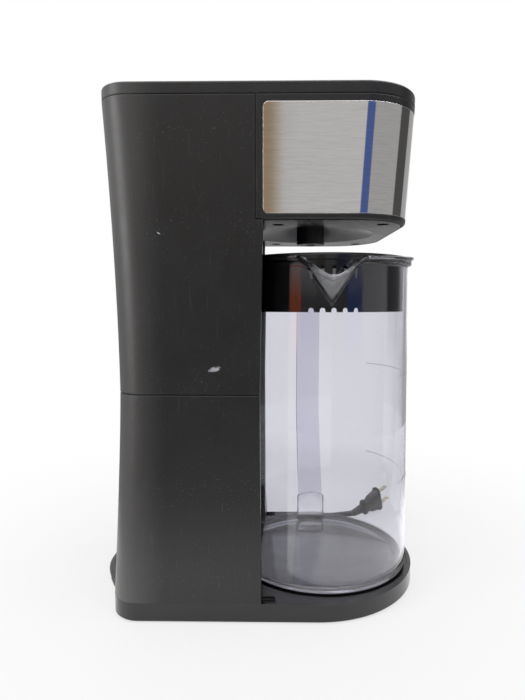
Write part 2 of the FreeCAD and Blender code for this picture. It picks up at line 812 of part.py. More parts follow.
motor_z = rim_z + 12
volute_z = motor_z + motor_length
chamber_floor = volute_z + 4
pump_top = volute_z + pump_height


bracket_half = motor_r + 6


def pump_bracket():
    h = bracket_half
    plate = box(pump_x - h, pump_x + h, pump_y - h, pump_y + h, motor_z - 3, motor_z)
    plate = plate.cut(rod(6, pump_x, pump_y, motor_z - 4, motor_z + 1))
    legs = []
    for sx in (-1, 1):
        for sy in (-1, 1):
            legs.append(rod(3.5, pump_x + sx * (h - 4), pump_y + sy * (h - 4), plate_top, motor_z - 3))
    return together([plate] + legs)


def pump_motor():
    can = rod(motor_r, pump_x, pump_y, motor_z, volute_z)
    can = can.cut(rod(shaft_r + 0.05, pump_x, pump_y, volute_z - 12, volute_z + 1))
    lead_box = box(pump_x - 6, pump_x + 6, pump_y - motor_r - 4, pump_y - motor_r + 2, motor_z, motor_z + 10)
    return can.fuse(lead_box)


def pump_housing():
    body = rod(pump_r, pump_x, pump_y, volute_z, pump_top)
    spout = rod_y(hose_bore_r - 0.1, pump_x, pump_y + 10, pump_y + pump_r + 12, chamber_floor + 7)
    body = body.fuse(spout)
    body = body.cut(rod(pump_r - 3, pump_x, pump_y, chamber_floor, pump_top + 1))
    body = body.cut(rod(shaft_r + 0.05, pump_x, pump_y, volute_z - 1, chamber_floor + 1))
    return body.cut(rod_y(1.8, pump_x, pump_y + 10, pump_y + pump_r + 13, chamber_floor + 7))


def pump_cover():
    lid = rod(pump_r, pump_x, pump_y, pump_top, pump_top + 3)
    inlet = rod(hose_bore_r - 0.1, pump_x, pump_y, pump_top, pump_top + 14)
    return lid.fuse(inlet).cut(rod(1.8, pump_x, pump_y, pump_top - 1, pump_top + 15))


def impeller():
    low = chamber_floor + 1
    hub = rod(5, pump_x, pump_y, low, low + 9)
    plate = rod(impeller_r, pump_x, pump_y, low, low + 1.5)
    shaft = rod(shaft_r, pump_x, pump_y, volute_z - 11, low + 1)
    vanes = []
    for i in range(6):
        vane = box(3, impeller_r - 0.5, -0.8, 0.8, low, low + 8)
        vane.rotate(V(0, 0, 0), Z_AXIS, 60 * i)
        vane.translate(V(pump_x, pump_y, 0))
        vanes.append(vane)
    return together([hub, plate, shaft] + vanes)


# ---------------------------------------------------------------- hoses and cords

def route_wire(points, note=""):
    """Straight runs joined by arcs, each as large as its two runs allow."""
    count = len(points)
    starts = [points[0]]
    arcs = []
    radii = []
    for i in range(1, count - 1):
        before = points[i - 1] - points[i]
        after = points[i + 1] - points[i]
        reach = 0.45 * min(before.Length, after.Length)
        half_turn = (math.pi - before.getAngle(after)) / 2
        radius = reach / math.tan(half_turn)
        a = points[i] + V(before).normalize() * reach
        b = points[i] + V(after).normalize() * reach
        middle_way = V(before).normalize() + V(after).normalize()
        middle_way.normalize()
        depth = radius / math.cos(half_turn) - radius
        arcs.append(Part.Arc(a, points[i] + middle_way * depth, b).toShape())
        starts.append(a)
        starts.append(b)
        radii.append(radius)
    starts.append(points[-1])
    edges = []
    for i in range(count - 1):
        edges.append(Part.LineSegment(starts[2 * i], starts[2 * i + 1]).toShape())
        if i < len(arcs):
            edges.append(arcs[i])
    if note:
        print(note, "radii", " ".join(f"{r:.1f}" for r in radii))
    return Part.Wire(edges)


def pipe(points, r, note=""):
    path = route_wire(points, note)
    way = (points[1] - points[0]).normalize()
    ring = Part.Wire([Part.makeCircle(r, points[0], way)])
    solid = path.makePipeShell([ring], True, True)
    if note:
        print(note, f"length {path.Length:.1f}", f"volume share {solid.Volume / (math.pi * r * r * path.Length):.4f}")
    return solid


def hose(points):
    return pipe(points, hose_r).cut(pipe(points, hose_bore_r))


def inlet_hose():
    top = tank_outlet_z + 6
    low = pump_top + 4
    sway = pump_y - 2
    points = [V(outlet_x, 0, top + 0.0), V(outlet_x, 0, top - 16), V(outlet_x, sway * 0.5, (top + low) / 2),
              V(outlet_x, pump_y, low + 16), V(outlet_x, pump_y, low)]
    sleeve = rod(outlet_r + 1.6, outlet_x, 0, tank_outlet_z - 2, shelf_z - 2)
    sleeve = sleeve.cut(rod(outlet_r + 0.1, outlet_x, 0, tank_outlet_z, tank_outlet_z + 8))
    points[0] = V(outlet_x, 0, tank_outlet_z - 1)
    return pipe(points, hose_r).fuse(sleeve).cut(pipe(points, hose_bore_r)).cut(
        rod(hose_bore_r, outlet_x, 0, tank_outlet_z - 3, tank_outlet_z + 1))


def feed_hose():
    z = chamber_floor + 7
    start = pump_y + pump_r + 2
    points = [V(pump_x, start, z), V(pump_x, hose_y(), z), V(pump_x, hose_y(), z + 40)]
    wire_points = [points[0], V(pump_x, hose_y(), z), V(pump_x, hose_y(), z + 30)]
    bend = hose(wire_points)
    riser = tube(hose_r, hose_bore_r, pump_x, hose_y(), z + 30, deck_z - 6)
    return bend.fuse(riser)


# ---------------------------------------------------------------- electronics and controls

front_x = head_front_x(panel_mid_z)
board_x = front_x - board_setback
button_places = [(-button_pitch, panel_mid_z - 3), (0, panel_mid_z - 3), (button_pitch, panel_mid_z - 3)]


def control_panel():
    outer = head_block(band_bottom_z, band_top_z, 0, split_x)
    inner = head_block(band_bottom_z - 1, band_top_z + 1, wall + band_thickness, split_x - 2)
    panel = outer.cut(inner).common(panel_window(-fit_gap))
    for y, z in button_places:
        panel = panel.cut(rod_x(button_r + button_slack, 70, 120, y, z))
        panel = panel.cut(rod_x(lens_r + 0.05, 70, 120, y, z + 12.5))
    return panel


def push_button(y, z):
    back = front_x - wall - band_thickness - button_seat_gap
    cap = rod_x(button_r, back, front_x + button_proud, y, z)
    rim = [e for e in cap.Edges if e.CenterOfMass.x > front_x and abs(e.Length - 2 * math.pi * button_r) < 0.01]
    cap = cap.makeFillet(0.8, rim)
    flange = rod_x(button_r + button_flange, back - 1.2, back, y, z)
    stem = rod_x(2.2, board_x + board_thickness + 4 + button_travel + 0.3, back, y, z)
    return together([cap, flange, stem])


def power_button():
    return push_button(*button_places[0])


def strength_button():
    return push_button(*button_places[1])


def clean_button():
    return push_button(*button_places[2])


def indicator_lenses():
    lenses = [rod_x(lens_r, front_x - wall - band_thickness - 1, front_x + 0.3, y, z + 12.5) for y, z in button_places]
    return Part.makeCompound(lenses)


def control_board():
    half = control_board_width / 2
    low_z = panel_mid_z - control_board_height / 2
    board = box(board_x, board_x + board_thickness, -half, half, low_z, low_z + control_board_height)
    face = board_x + board_thickness
    parts = [board]
    for y, z in button_places:
        parts.append(box(face, face + 4, y - 3, y + 3, z - 3, z + 3))
        lamp_end = front_x - wall - band_thickness - 1.4
        parts.append(rod_x(1.4, face, lamp_end, y, z + 12.5))
    parts.append(box(board_x - 4, board_x, half - 11, half - 2, low_z + 2, low_z + 10))
    return together(parts)


def board_bracket():
    """Two rails from the deck that hold the control board."""
    rails = []
    edge = control_board_width / 2
    low_z = panel_mid_z - control_board_height / 2
    for side in (-1, 1):
        low, high = sorted((side * (edge + fit_gap), side * (edge + rail_width)))
        rail = box(board_x - 2, board_x + board_thickness + 2, low, high, low_z, deck_z)
        lip_low, lip_high = sorted((side * (edge - rail_lip), side * (edge + rail_width)))
        back = box(board_x - 2, board_x - fit_gap, lip_low, lip_high, low_z, low_z + control_board_height)
        rails.append(rail.fuse(back))
    return Part.makeCompound(rails)


def power_board():
    z = rim_z + 8
    x = base_back_x + power_board_back_inset
    y = -body_width / 2 + power_board_side_inset
    top = z + board_thickness
    parts = [box(x, x + power_board_length, y, y + power_board_width, z, top),
             box(x + 4, x + 24, y + 6, y + 24, top, top + 17),
             rod(5, x + 34, y + 14, top, top + 16), rod(3, x + 44, y + 22, top, top + 11),
             box(x + 40, x + 50, y + 2, y + 10, top, top + 8), box(x + 26, x + 32, y + 2, y + 6, top, top + 9)]
    for leg_x in (x + 4, x + 48):
        parts.append(rod(2.2, leg_x, y + 15, rim_z, z + 0.5))
    return together(parts)


# ---------------------------------------------------------------- pitcher

def pitcher_r(z):
    return pitcher_foot_r + (pitcher_lip_r - pitcher_foot_r) * (z - seat_z) / (pitcher_lip_z - seat_z)


def spout_cone(shrink, top_z):
    """An oblique cone that leans out of the wall, pointed at its foot."""
    high_r = spout_width / 2
    wires = []
    for z in (spout_tip_z, top_z):
        share = (z - spout_tip_z) / (pitcher_lip_z - spout_tip_z)
        r = 1.0 + (high_r - 1.0) * share
        foot_y = -(pitcher_r(spout_tip_z) - 1.6)
        top_y = -(pitcher_lip_r + spout_reach - high_r)
        y = foot_y + (top_y - foot_y) * share
        wires.append(Part.Wire([Part.makeCircle(max(r - shrink, 0.2), V(0, y, z), Z_AXIS)]))
    return Part.makeLoft(wires, True, True)


def handle_solid():
    """A flat loop handle: out at the top, straight down, and in to the wall along a slanting leg."""
    root_y = pitcher_foot_r - 2.0
    out_y = pitcher_foot_r + handle_reach
    leg = math.asin(handle_thickness / handle_foot_height)
    top_bend = 16.0
    knee_bend = 60.0
    s = math.sqrt(0.5)

    def side(y_out, z_top, r_top, r_knee, z_foot):
        """One side of the strap, from the wall at the top, round the loop and back to the wall."""
        top_mid = V(0, y_out - r_top * (1 - s), z_top - r_top * (1 - s))
        knee_z = z_foot + (y_out - pitcher_foot_r) / math.tan(leg)
        reach = r_knee * math.tan(leg / 2)
        knee_start = V(0, y_out, knee_z + reach)
        knee_end = V(0, y_out - reach * math.sin(leg), knee_z - reach * math.cos(leg))
        knee_mid = V(0, y_out - r_knee * (1 - math.cos(leg / 2)), knee_z + reach - r_knee * math.sin(leg / 2))
        foot = V(0, pitcher_foot_r, z_foot)
        return [Part.makeLine(V(0, root_y, z_top), V(0, y_out - r_top, z_top)),
                Part.Arc(V(0, y_out - r_top, z_top), top_mid, V(0, y_out, z_top - r_top)).toShape(),
                Part.makeLine(V(0, y_out, z_top - r_top), knee_start),
                Part.Arc(knee_start, knee_mid, knee_end).toShape(),
                Part.makeLine(knee_end, foot),
                Part.makeLine(foot, V(0, root_y, z_foot))]

    t = handle_thickness
    foot_top = handle_foot_z + handle_foot_height
    outer = side(out_y, handle_top_z, top_bend, knee_bend, handle_foot_z)
    inner = side(out_y - t, handle_top_z - t, top_bend - t * 0.8, knee_bend - t, foot_top)
    ends = [Part.makeLine(V(0, root_y, handle_foot_z), V(0, root_y, foot_top)),
            Part.makeLine(V(0, root_y, handle_top_z - t), V(0, root_y, handle_top_z))]
    face = Part.Face(Part.Wire(Part.__sortEdges__(outer + inner + ends)))
    handle = face.extrude(V(handle_width, 0, 0))
    handle.translate(V(-handle_width / 2, 0, 0))
    long_edges = [e for e in handle.Edges
                  if abs(abs(e.CenterOfMass.x) - handle_width / 2) < 0.01 and e.CenterOfMass.y > pitcher_foot_r]
    return handle.makeFillet(2.0, long_edges)


def lip_dip(lip):
    """What the lip's dip over the spout takes away: one smooth wave, a cosine across its width."""
    half = spout_dip_width / 2
    steps = 12
    wave = []
    for i in range(steps + 1):
        x = half * (2 * i / steps - 1)
        wave.append(V(x, -110, lip - spout_dip * (1 + math.cos(math.pi * x / half)) / 2))
    curve = Part.BSplineCurve()
    curve.interpolate(Points=wave, InitialTangent=X_AXIS, FinalTangent=X_AXIS, Scale=True)
    top = lip + 2
    sides = [Part.makeLine(wave[-1], V(half, -110, top)), Part.makeLine(V(half, -110, top), V(-half, -110, top)),
             Part.makeLine(V(-half, -110, top), wave[0])]
    return Part.Face(Part.Wire([curve.toShape()] + sides)).extrude(V(0, 60, 0))


def place_pitcher(shape, turn):
    shape.rotate(V(0, 0, 0), Z_AXIS, turn)
    shape.translate(V(seat_x, 0, 0))
    return shape


def pitcher_body():
    lip = pitcher_lip_z
    f = pitcher_foot_round
    foot_r = pitcher_r(seat_z)
    s = 1 - math.sqrt(0.5)
    low = [Part.makeLine(V(0, 0, seat_z + 1.5), V(foot_r - 9, 0, seat_z + 1.5)),
           Part.makeLine(V(foot_r - 9, 0, seat_z + 1.5), V(foot_r - 10.5 + 3, 0, seat_z)),
           Part.makeLine(V(foot_r - 7.5, 0, seat_z), V(foot_r - f, 0, seat_z)),
           Part.Arc(V(foot_r - f, 0, seat_z), V(foot_r - f * s, 0, seat_z + f * s),
                    V(pitcher_r(seat_z + f), 0, seat_z + f)).toShape(),
           Part.makeLine(V(pitcher_r(seat_z + f), 0, seat_z + f), V(pitcher_r(lip), 0, lip)),
           Part.makeLine(V(pitcher_r(lip), 0, lip), V(0, 0, lip)),
           Part.makeLine(V(0, 0, lip), V(0, 0, seat_z + 1.5))]
    outside = Part.Face(Part.Wire(low)).revolve(V(0, 0, 0), Z_AXIS, 360)
    outside = outside.fuse(spout_cone(0, lip))
    floor = seat_z + pitcher_floor
    top = lip + 1
    r_low = pitcher_r(floor) - pitcher_wall
    r_top = pitcher_r(top) - pitcher_wall
    inside = turned([(0, floor), (r_low - 3, floor), (r_low, floor + 3), (r_top, top), (0, top)], 0, 0)
    inside = inside.fuse(spout_cone(pitcher_wall - 0.4, top))
    handle = handle_solid().cut(inside)
    body = outside.fuse(handle).cut(inside)
    body = body.cut(lip_dip(lip))
    return place_pitcher(body.removeSplitter(), pitcher_turn)


lid_flange_z = pitcher_lip_z + lid_flange_gap


def pitcher_lid():
    top = lid_flange_z + lid_flange_height
    skirt_r = pitcher_lip_r - pitcher_wall - lid_skirt_gap
    low = lid_flange_z - lid_skirt_depth
    plate_top = top - lid_well_depth
    inner = skirt_r - lid_skirt_wall
    shell = turned([(skirt_r, low), (skirt_r, lid_flange_z), (lid_flange_r, lid_flange_z), (lid_flange_r, top - 1),
                    (lid_flange_r - 1, top), (inner + 1, top), (inner, top - 1), (inner, low)], 0, 0)
    plate = tube(inner + lid_skirt_wall / 2, lid_inlet_r, 0, 0, plate_top - lid_plate, plate_top)
    collar = tube(lid_inlet_r + 1.8, lid_inlet_r, 0, 0, plate_top - 6, plate_top + 1.5)
    lid = together([shell, plate, collar])
    grips = []
    for side in (-1, 1):
        low_x, high_x = sorted((side * (lid_inlet_r + 1), side * (lid_inlet_r + grip_length)))
        grips.append(box(low_x, high_x, -grip_thickness / 2, grip_thickness / 2, plate_top - 0.5, top - 0.3))
    lid = together([lid] + grips)
    first = -90 + lid_turn - strainer_pitch * (strainer_count - 1) / 2
    notch_r = strainer_notch_width / 2
    slot_top = plate_top - lid_plate - 1
    cutters = [box(-pour_notch_width / 2, pour_notch_width / 2, inner - 24, skirt_r + 3, low - 1, low + pour_notch)]
    for i in range(strainer_count):
        notch = box(inner - 3, skirt_r + 3, -notch_r, notch_r, low - 1, low + strainer_notch - notch_r)
        arch = rod_x(notch_r, inner - 3, skirt_r + 3, 0, low + strainer_notch - notch_r)
        slot = box(inner - 3, skirt_r + 3, -strainer_slot_width / 2, strainer_slot_width / 2,
                   slot_top - strainer_slot_height, slot_top)
        for cutter in (notch, arch, slot):
            cutter.rotate(V(0, 0, 0), Z_AXIS, first + strainer_pitch * i)
            cutters.append(cutter)
    for cutter in cutters:
        lid = lid.cut(cutter)
    return place_pitcher(lid, 0)


# ---------------------------------------------------------------- mains lead

def relief_way():
    a = math.radians(relief_angle)
    return V(-math.cos(a), math.sin(a), 0)


def relief_root():
    return V(base_back_x - 0.5, relief_y, relief_z)


def relief_tip():
    return relief_root() + relief_way() * relief_length - V(0, 0, relief_drop)


def relief_socket():
    """Opening in the back of the tray and its plate that holds the strain relief's block."""
    return box(base_back_x - 1, base_back_x + 9, relief_y - 9, relief_y + 9, feet_proud - 1, relief_z + relief_root_r + 0.6)


def strain_relief():
    root = relief_root()
    tip = relief_tip()
    way = (tip - root).normalize()
    cone = Part.makeCone(relief_root_r - 0.2, cord_r + 0.6, (tip - root).Length, root, way)
    block = box(base_back_x + 0.2, base_back_x + 8.8, relief_y - 8.8, relief_y + 8.8, feet_proud + 0.2,
                relief_z + relief_root_r + 0.4)
    stub = Part.makeCylinder(relief_root_r - 0.2, 6, root - way * 5, way)
    stub = stub.common(box(base_back_x - 4, base_back_x + 8, relief_y - 8, relief_y + 8, 0.5, 11))
    for i in range(4):
        at = root + way * (6 + 3.4 * i)
        ring = Part.makeCylinder(8, 1.3, at, way).cut(Part.makeCylinder(cord_r + 0.55, 1.3, at, way))
        cone = cone.cut(ring)
    return together([block, stub, cone])


machine_end = [V(-133.8, -9.5, cord_r + 0.1), V(-132.2, 19.0, cord_r + 0.1), V(-133.4, 46.0, cord_r + 0.1),
               V(-126.0, 74.0, cord_r + 0.1), V(-106.0, 93.5, cord_r + 0.1), V(-80.0, 97.3, cord_r + 0.1)]
plug_end = [V(-47.0, 99.6, 9.8), V(-30.0, 99.8, 7.8), V(-8.0, 95.5, 3.4), V(16.0, 97.0, cord_r + 0.1),
            V(42.0, 94.5, cord_r + 0.1), V(63.0, 97.0, 3.4)]


def cord_machine_end():
    return pipe([relief_tip()] + machine_end, cord_r, "lead at the machine")


def cord_plug_end():
    return pipe(plug_end + [plug_root()], cord_r, "lead at the plug")


def cord_coil():
    return turned([(coil_inner_r, 0.1), (coil_outer_r, 0.1), (coil_outer_r, coil_height * 0.55),
                   (coil_turn_r + cord_r, coil_height), (coil_turn_r - cord_r, coil_height),
                   (coil_inner_r, coil_height * 0.55)], coil_x, coil_y)


def cord_tie():
    """A strap round the coil's turns, on the side away from the machine."""
    y0 = coil_y + coil_inner_r
    y1 = coil_y + coil_outer_r
    outer = box(coil_x - 3, coil_x + 3, y0 - 1.6, y1 + 1.6, 0, coil_height + 1.6)
    hollow = box(coil_x - 4, coil_x + 4, y0 - 0.9, y1 + 0.9, -1, coil_height + 0.9)
    return outer.cut(hollow)


# ---------------------------------------------------------------- plug

plug_body_length = 24.0
plug_neck_length = 18.0


def plug_frame():
    along = V(plug_axis).normalize()
    long_way = V(plug_long) - along * along.dot(plug_long)
    long_way.normalize()
    return along, long_way, along.cross(long_way)


def plug_root():
    return plug_tip - plug_frame()[0] * (plug_body_length + plug_neck_length)


def in_plug_frame(shape):
    """Moves a shape from plug coordinates (x along the blades, y across them) to its place."""
    a, b, c = plug_frame()
    m = FreeCAD.Matrix(a.x, b.x, c.x, plug_tip.x, a.y, b.y, c.y, plug_tip.y, a.z, b.z, c.z, plug_tip.z, 0, 0, 0, 1)
    return shape.transformGeometry(m)


def oval_x(x, long_half, short_half):
    """A wire in the plug's cross section: two straight sides and two round ends."""
    r = short_half
    y = long_half - r
    edges = [Part.makeLine(V(x, -y, -r), V(x, y, -r)),
             Part.Arc(V(x, y, -r), V(x, y + r, 0), V(x, y, r)).toShape(),
             Part.makeLine(V(x, y, r), V(x, -y, r)),
             Part.Arc(V(x, -y, r), V(x, -y - r, 0), V(x, -y, -r)).toShape()]
    return Part.Wire(edges)


def plug_body():
    flange = Part.makeLoft([oval_x(-3, 12.8, 7.0), oval_x(0, 12.4, 6.6)], True, True)
    front = Part.makeLoft([oval_x(-14, 8.2, 5.8), oval_x(-3, 10.6, 6.3)], True, True)
    waist = Part.makeLoft([oval_x(-18, 6.0, 4.8), oval_x(-14, 8.2, 5.8)], True, True)
    wing = Part.makeLoft([oval_x(-plug_body_length, 8.4, 4.4), oval_x(-18, 6.0, 4.8)], True, True)
    neck = Part.makeCone(cord_r + 0.5, 4.4, plug_neck_length, V(-plug_body_length - plug_neck_length, 0, 0), X_AXIS)
    for i in range(4):
        at = -plug_body_length - plug_neck_length + 2.6 + 3.6 * i
        ring = rod_x(9, at, at + 1.4, 0, 0).cut(rod_x(cord_r + 0.45, at, at + 1.4, 0, 0))
        neck = neck.cut(ring)
    body = together([flange, front, waist, wing, neck])
    for side in (-1, 1):
        body = body.cut(blade(side, 0.05, -8.2))
    return in_plug_frame(body)


def blade(side, gap, root):
    y = side * blade_spacing / 2
    t = blade_thickness / 2 + gap
    w = blade_width / 2 + gap
    return box(root, blade_length, y - t, y + t, -w, w)


def plug_blades():
    blades = []
    for side in (-1, 1):
        prong = blade(side, 0, -8).cut(rod_y(1.5, blade_length - 4, -20, 20, 0))
        blades.append(in_plug_frame(prong))
    return Part.makeCompound(blades)


# ---------------------------------------------------------------- write the parts

PARTS = [base_tray, base_plate, rubber_feet, base_screws, lower_housing, upper_housing, head_housing, steel_band,
         head_bottom_cover, cover_screws, outlet_nozzle, nozzle_seal, top_deck, deck_screws, top_lid, hinge_pins,
         shower_plate, brew_basket, mesh_filter, water_tank, tank_grommet, tank_strainer, pump_bracket, pump_motor,
         pump_housing, pump_cover, impeller, inlet_hose, feed_hose, control_panel, power_button, strength_button,
         clean_button, indicator_lenses, control_board, board_bracket, power_board, pitcher_body, pitcher_lid,
         strain_relief, cord_machine_end, cord_coil, cord_tie, cord_plug_end, plug_body, plug_blades]

os.makedirs("parts", exist_ok=True)
for part in PARTS:
    shape = part()
    print(part.__name__, len(shape.Solids), "solids", f"{shape.Volume:.0f} mm3", "valid" if shape.isValid() else "BAD")
    shape.exportStep(f"parts/{part.__name__}.step")
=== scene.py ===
import json
import math

import bmesh
import bpy
from mathutils import Matrix, Vector


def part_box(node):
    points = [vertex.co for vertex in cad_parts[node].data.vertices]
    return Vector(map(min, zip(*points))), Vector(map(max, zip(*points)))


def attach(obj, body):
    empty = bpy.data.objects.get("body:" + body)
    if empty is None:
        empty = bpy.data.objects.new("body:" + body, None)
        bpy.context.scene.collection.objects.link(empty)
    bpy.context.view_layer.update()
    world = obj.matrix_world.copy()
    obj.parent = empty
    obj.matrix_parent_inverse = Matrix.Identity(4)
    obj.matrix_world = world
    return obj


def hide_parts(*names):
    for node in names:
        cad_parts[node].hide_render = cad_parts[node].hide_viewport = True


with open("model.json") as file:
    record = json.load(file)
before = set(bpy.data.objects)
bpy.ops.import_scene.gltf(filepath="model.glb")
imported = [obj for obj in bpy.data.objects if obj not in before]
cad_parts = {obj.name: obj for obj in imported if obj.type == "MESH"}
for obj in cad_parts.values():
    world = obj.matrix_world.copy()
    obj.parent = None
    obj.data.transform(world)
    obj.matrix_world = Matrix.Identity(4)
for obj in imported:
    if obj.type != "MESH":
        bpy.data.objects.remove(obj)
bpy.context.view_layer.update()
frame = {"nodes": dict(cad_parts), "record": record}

MM = 0.001


def mm(*values):
    """A point or a length in millimetres, as metres."""
    return Vector(values) * MM if len(values) > 1 else values[0] * MM


# ---------------------------------------------------------------- camera

CAMERA_PLACE = mm(-1.55, -427.35, 219.48)
CAMERA_PITCH = 4.92      # degrees down
CAMERA_YAW = 0.84        # degrees to the left
CAMERA_LENS = 27.05


def set_camera():
    data = bpy.data.cameras.new("camera")
    data.lens = CAMERA_LENS
    data.sensor_width = 36
    data.clip_start = 0.01
    camera = bpy.data.objects.new("camera", data)
    camera.location = CAMERA_PLACE
    camera.rotation_euler = (math.radians(90 - CAMERA_PITCH), 0, math.radians(CAMERA_YAW))
    bpy.context.scene.collection.objects.link(camera)
    bpy.context.scene.camera = camera


set_camera()


# ---------------------------------------------------------------- mains lead

CORD_R = 3.0
CORD_LIFT = CORD_R + 0.1     # centreline's height over the worktop
MACHINE_END = [(-124.05, -27.68, 3.7), (-133.8, -9.5, CORD_LIFT), (-132.2, 19.0, CORD_LIFT),
               (-133.4, 46.0, CORD_LIFT), (-126.0, 74.0, CORD_LIFT), (-106.0, 93.5, CORD_LIFT),
               (-80.0, 97.3, CORD_LIFT)]
PLUG_END = [(-47.0, 99.6, 9.8), (-30.0, 99.8, 7.8), (-8.0, 95.5, 3.4), (16.0, 97.0, CORD_LIFT),
            (42.0, 94.5, CORD_LIFT), (63.0, 97.0, 3.4)]
PLUG_TIP = Vector((120.1, 123.4, 13.2))
PLUG_AXIS = Vector((0.820, 0.539, 0.194)).normalized()
PLUG_LONG = Vector((0.248, -0.028, -0.968))
PLUG_BODY_LENGTH = 27.0
PLUG_NECK_LENGTH = 15.0
COIL_MIDDLE = (-60.0, 133.0)
COIL_TURNS = [(36.0, CORD_LIFT), (30.0, CORD_LIFT), (33.0, 9.2)]     # radius and height of each turn
COIL_STEPS = 14


def coil_points():
    """Two turns side by side on the worktop and one on top of them."""
    points = []
    for turn, (radius, height) in enumerate(COIL_TURNS):
        next_radius, next_height = COIL_TURNS[min(turn + 1, len(COIL_TURNS) - 1)]
        for step in range(COIL_STEPS):
            angle = math.radians(-90) + 2 * math.pi * step / COIL_STEPS
            share = max(0.0, (step - COIL_STEPS + 4) / 4)
            r = radius + (next_radius - radius) * share
            z = height + (next_height - height) * share
            points.append((COIL_MIDDLE[0] + r * math.cos(angle), COIL_MIDDLE[1] + r * math.sin(angle), z))
    return points


def make_cord():
    curve = bpy.data.curves.new("mains_lead", "CURVE")
    curve.dimensions = "3D"
    curve.bevel_depth = mm(CORD_R)
    curve.bevel_resolution = 6
    curve.resolution_u = 6
    plug_root = PLUG_TIP - PLUG_AXIS * (PLUG_BODY_LENGTH + PLUG_NECK_LENGTH)
    points = MACHINE_END + coil_points() + PLUG_END + [tuple(plug_root)]
    spline = curve.splines.new("NURBS")
    spline.points.add(len(points) - 1)
    for point, place in zip(spline.points, points):
        point.co = (*(Vector(place) * MM), 1)
    spline.order_u = 3
    spline.use_endpoint_u = True
    cord = bpy.data.objects.new("mains_lead", curve)
    bpy.context.scene.collection.objects.link(cord)
    return cord


mains_lead = make_cord()


# ---------------------------------------------------------------- material helpers

def new_material(name):
    """An empty node material and its shader, ready for its sockets."""
    material = bpy.data.materials.new(name)
    material.use_nodes = True
    shader = material.node_tree.nodes["Principled BSDF"]
    return material, shader


def add_node(material, kind, **inputs):
    node = material.node_tree.nodes.new(kind)
    for name, value in inputs.items():
        node.inputs[name.replace("_", " ")].default_value = value
    return node


def link(material, out, into):
    material.node_tree.links.new(out, into)


def object_place(material, scale=(1, 1, 1)):
    """Object coordinates, stretched, for a pattern that stays on its piece."""
    coordinates = add_node(material, "ShaderNodeTexCoord")
    mapping = add_node(material, "ShaderNodeMapping")
    mapping.inputs["Scale"].default_value = scale
    link(material, coordinates.outputs["Object"], mapping.inputs["Vector"])
    return mapping.outputs["Vector"]


def noise(material, place, scale, detail=3.0, roughness=0.5):
    texture = add_node(material, "ShaderNodeTexNoise", Scale=scale, Detail=detail, Roughness=roughness)
    link(material, place, texture.inputs["Vector"])
    return texture.outputs["Fac"]


def ramp(material, factor, stops, smooth=False):
    """A colour ramp; stops are (place, colour) pairs, a bare number for grey."""
    node = add_node(material, "ShaderNodeValToRGB")
    if smooth:
        node.color_ramp.interpolation = "EASE"
    elements = node.color_ramp.elements
    while len(elements) < len(stops):
        elements.new(0.5)
    for element, (place, colour) in zip(elements, stops):
        element.position = place
        element.color = (*colour, 1) if isinstance(colour, tuple) else (colour, colour, colour, 1)
    link(material, factor, node.inputs["Fac"])
    return node.outputs["Color"]


def calculate(material, operation, first, second=None, third=None):
    """One step of arithmetic on a node's output, with other outputs or numbers."""
    node = add_node(material, "ShaderNodeMath")
    node.operation = operation
    for socket, value in zip(node.inputs, (first, second, third)):
        if value is None:
            continue
        if isinstance(value, (int, float)):
            socket.default_value = value
        else:
            link(material, value, socket)
    return node.outputs["Value"]


def blend_colours(material, factor, first, second):
    node = material.node_tree.nodes.new("ShaderNodeMix")
    node.data_type = "RGBA"
    for socket, value in ((node.inputs[0], factor), (node.inputs[6], first), (node.inputs[7], second)):
        if isinstance(value, tuple):
            socket.default_value = (*value, 1)
        elif isinstance(value, (int, float)):
            socket.default_value = value
        else:
            link(material, value, socket)
    return node.outputs[2]


def add_bump(material, shader, height, strength, distance, edge=0.0):
    """Surface relief; edge is how far a sharp edge looks rounded, in metres."""
    bump = add_node(material, "ShaderNodeBump", Strength=strength, Distance=distance)
    link(material, height, bump.inputs["Height"])
    if edge:
        rounding = add_node(material, "ShaderNodeBevel", Radius=edge)
        rounding.samples = 4
        link(material, rounding.outputs["Normal"], bump.inputs["Normal"])
    link(material, bump.outputs["Normal"], shader.inputs["Normal"])


# ---------------------------------------------------------------- finishes

def moulded_plastic(name, colour, roughness, variation=0.15, grain=2500.0, grain_depth=0.00002, edge=0.0008,
                    marks=None, gloss_level=0.5):
    """Injection-moulded plastic: a fine spark-eroded grain, and cloudy changes in colour and gloss."""
    material, shader = new_material(name)
    place = object_place(material)
    cloud = noise(material, place, 18.0, detail=4.0)
    darker = tuple(c * (1 - variation) for c in colour)
    lighter = tuple(c * (1 + variation) for c in colour)
    tint = ramp(material, cloud, [(0.3, darker), (0.7, lighter)])
    # marks can paint light too: the column's marks add a painted sheen
    if marks:
        tint = marks(material, tint)
    link(material, tint, shader.inputs["Base Color"])
    gloss = ramp(material, noise(material, place, 45.0), [(0.3, roughness * 0.88), (0.7, roughness * 1.12)])
    link(material, gloss, shader.inputs["Roughness"])
    shader.inputs["IOR"].default_value = 1.5
    shader.inputs["Specular IOR Level"].default_value = gloss_level
    add_bump(material, shader, noise(material, place, grain, detail=2.0), 0.25, grain_depth, edge)
    return material


MARK_GREY = (0.42, 0.42, 0.47)
SCUFF_MIDDLE = mm(-38.5, -80.0, 176.5)
SCUFF_SIZE = mm(9.0, 20.0, 3.4)
SCRATCH_MIDDLE = mm(-74.5, -81.0, 266.0)
SCRATCH_SIZE = mm(3.0, 20.0, 0.8)


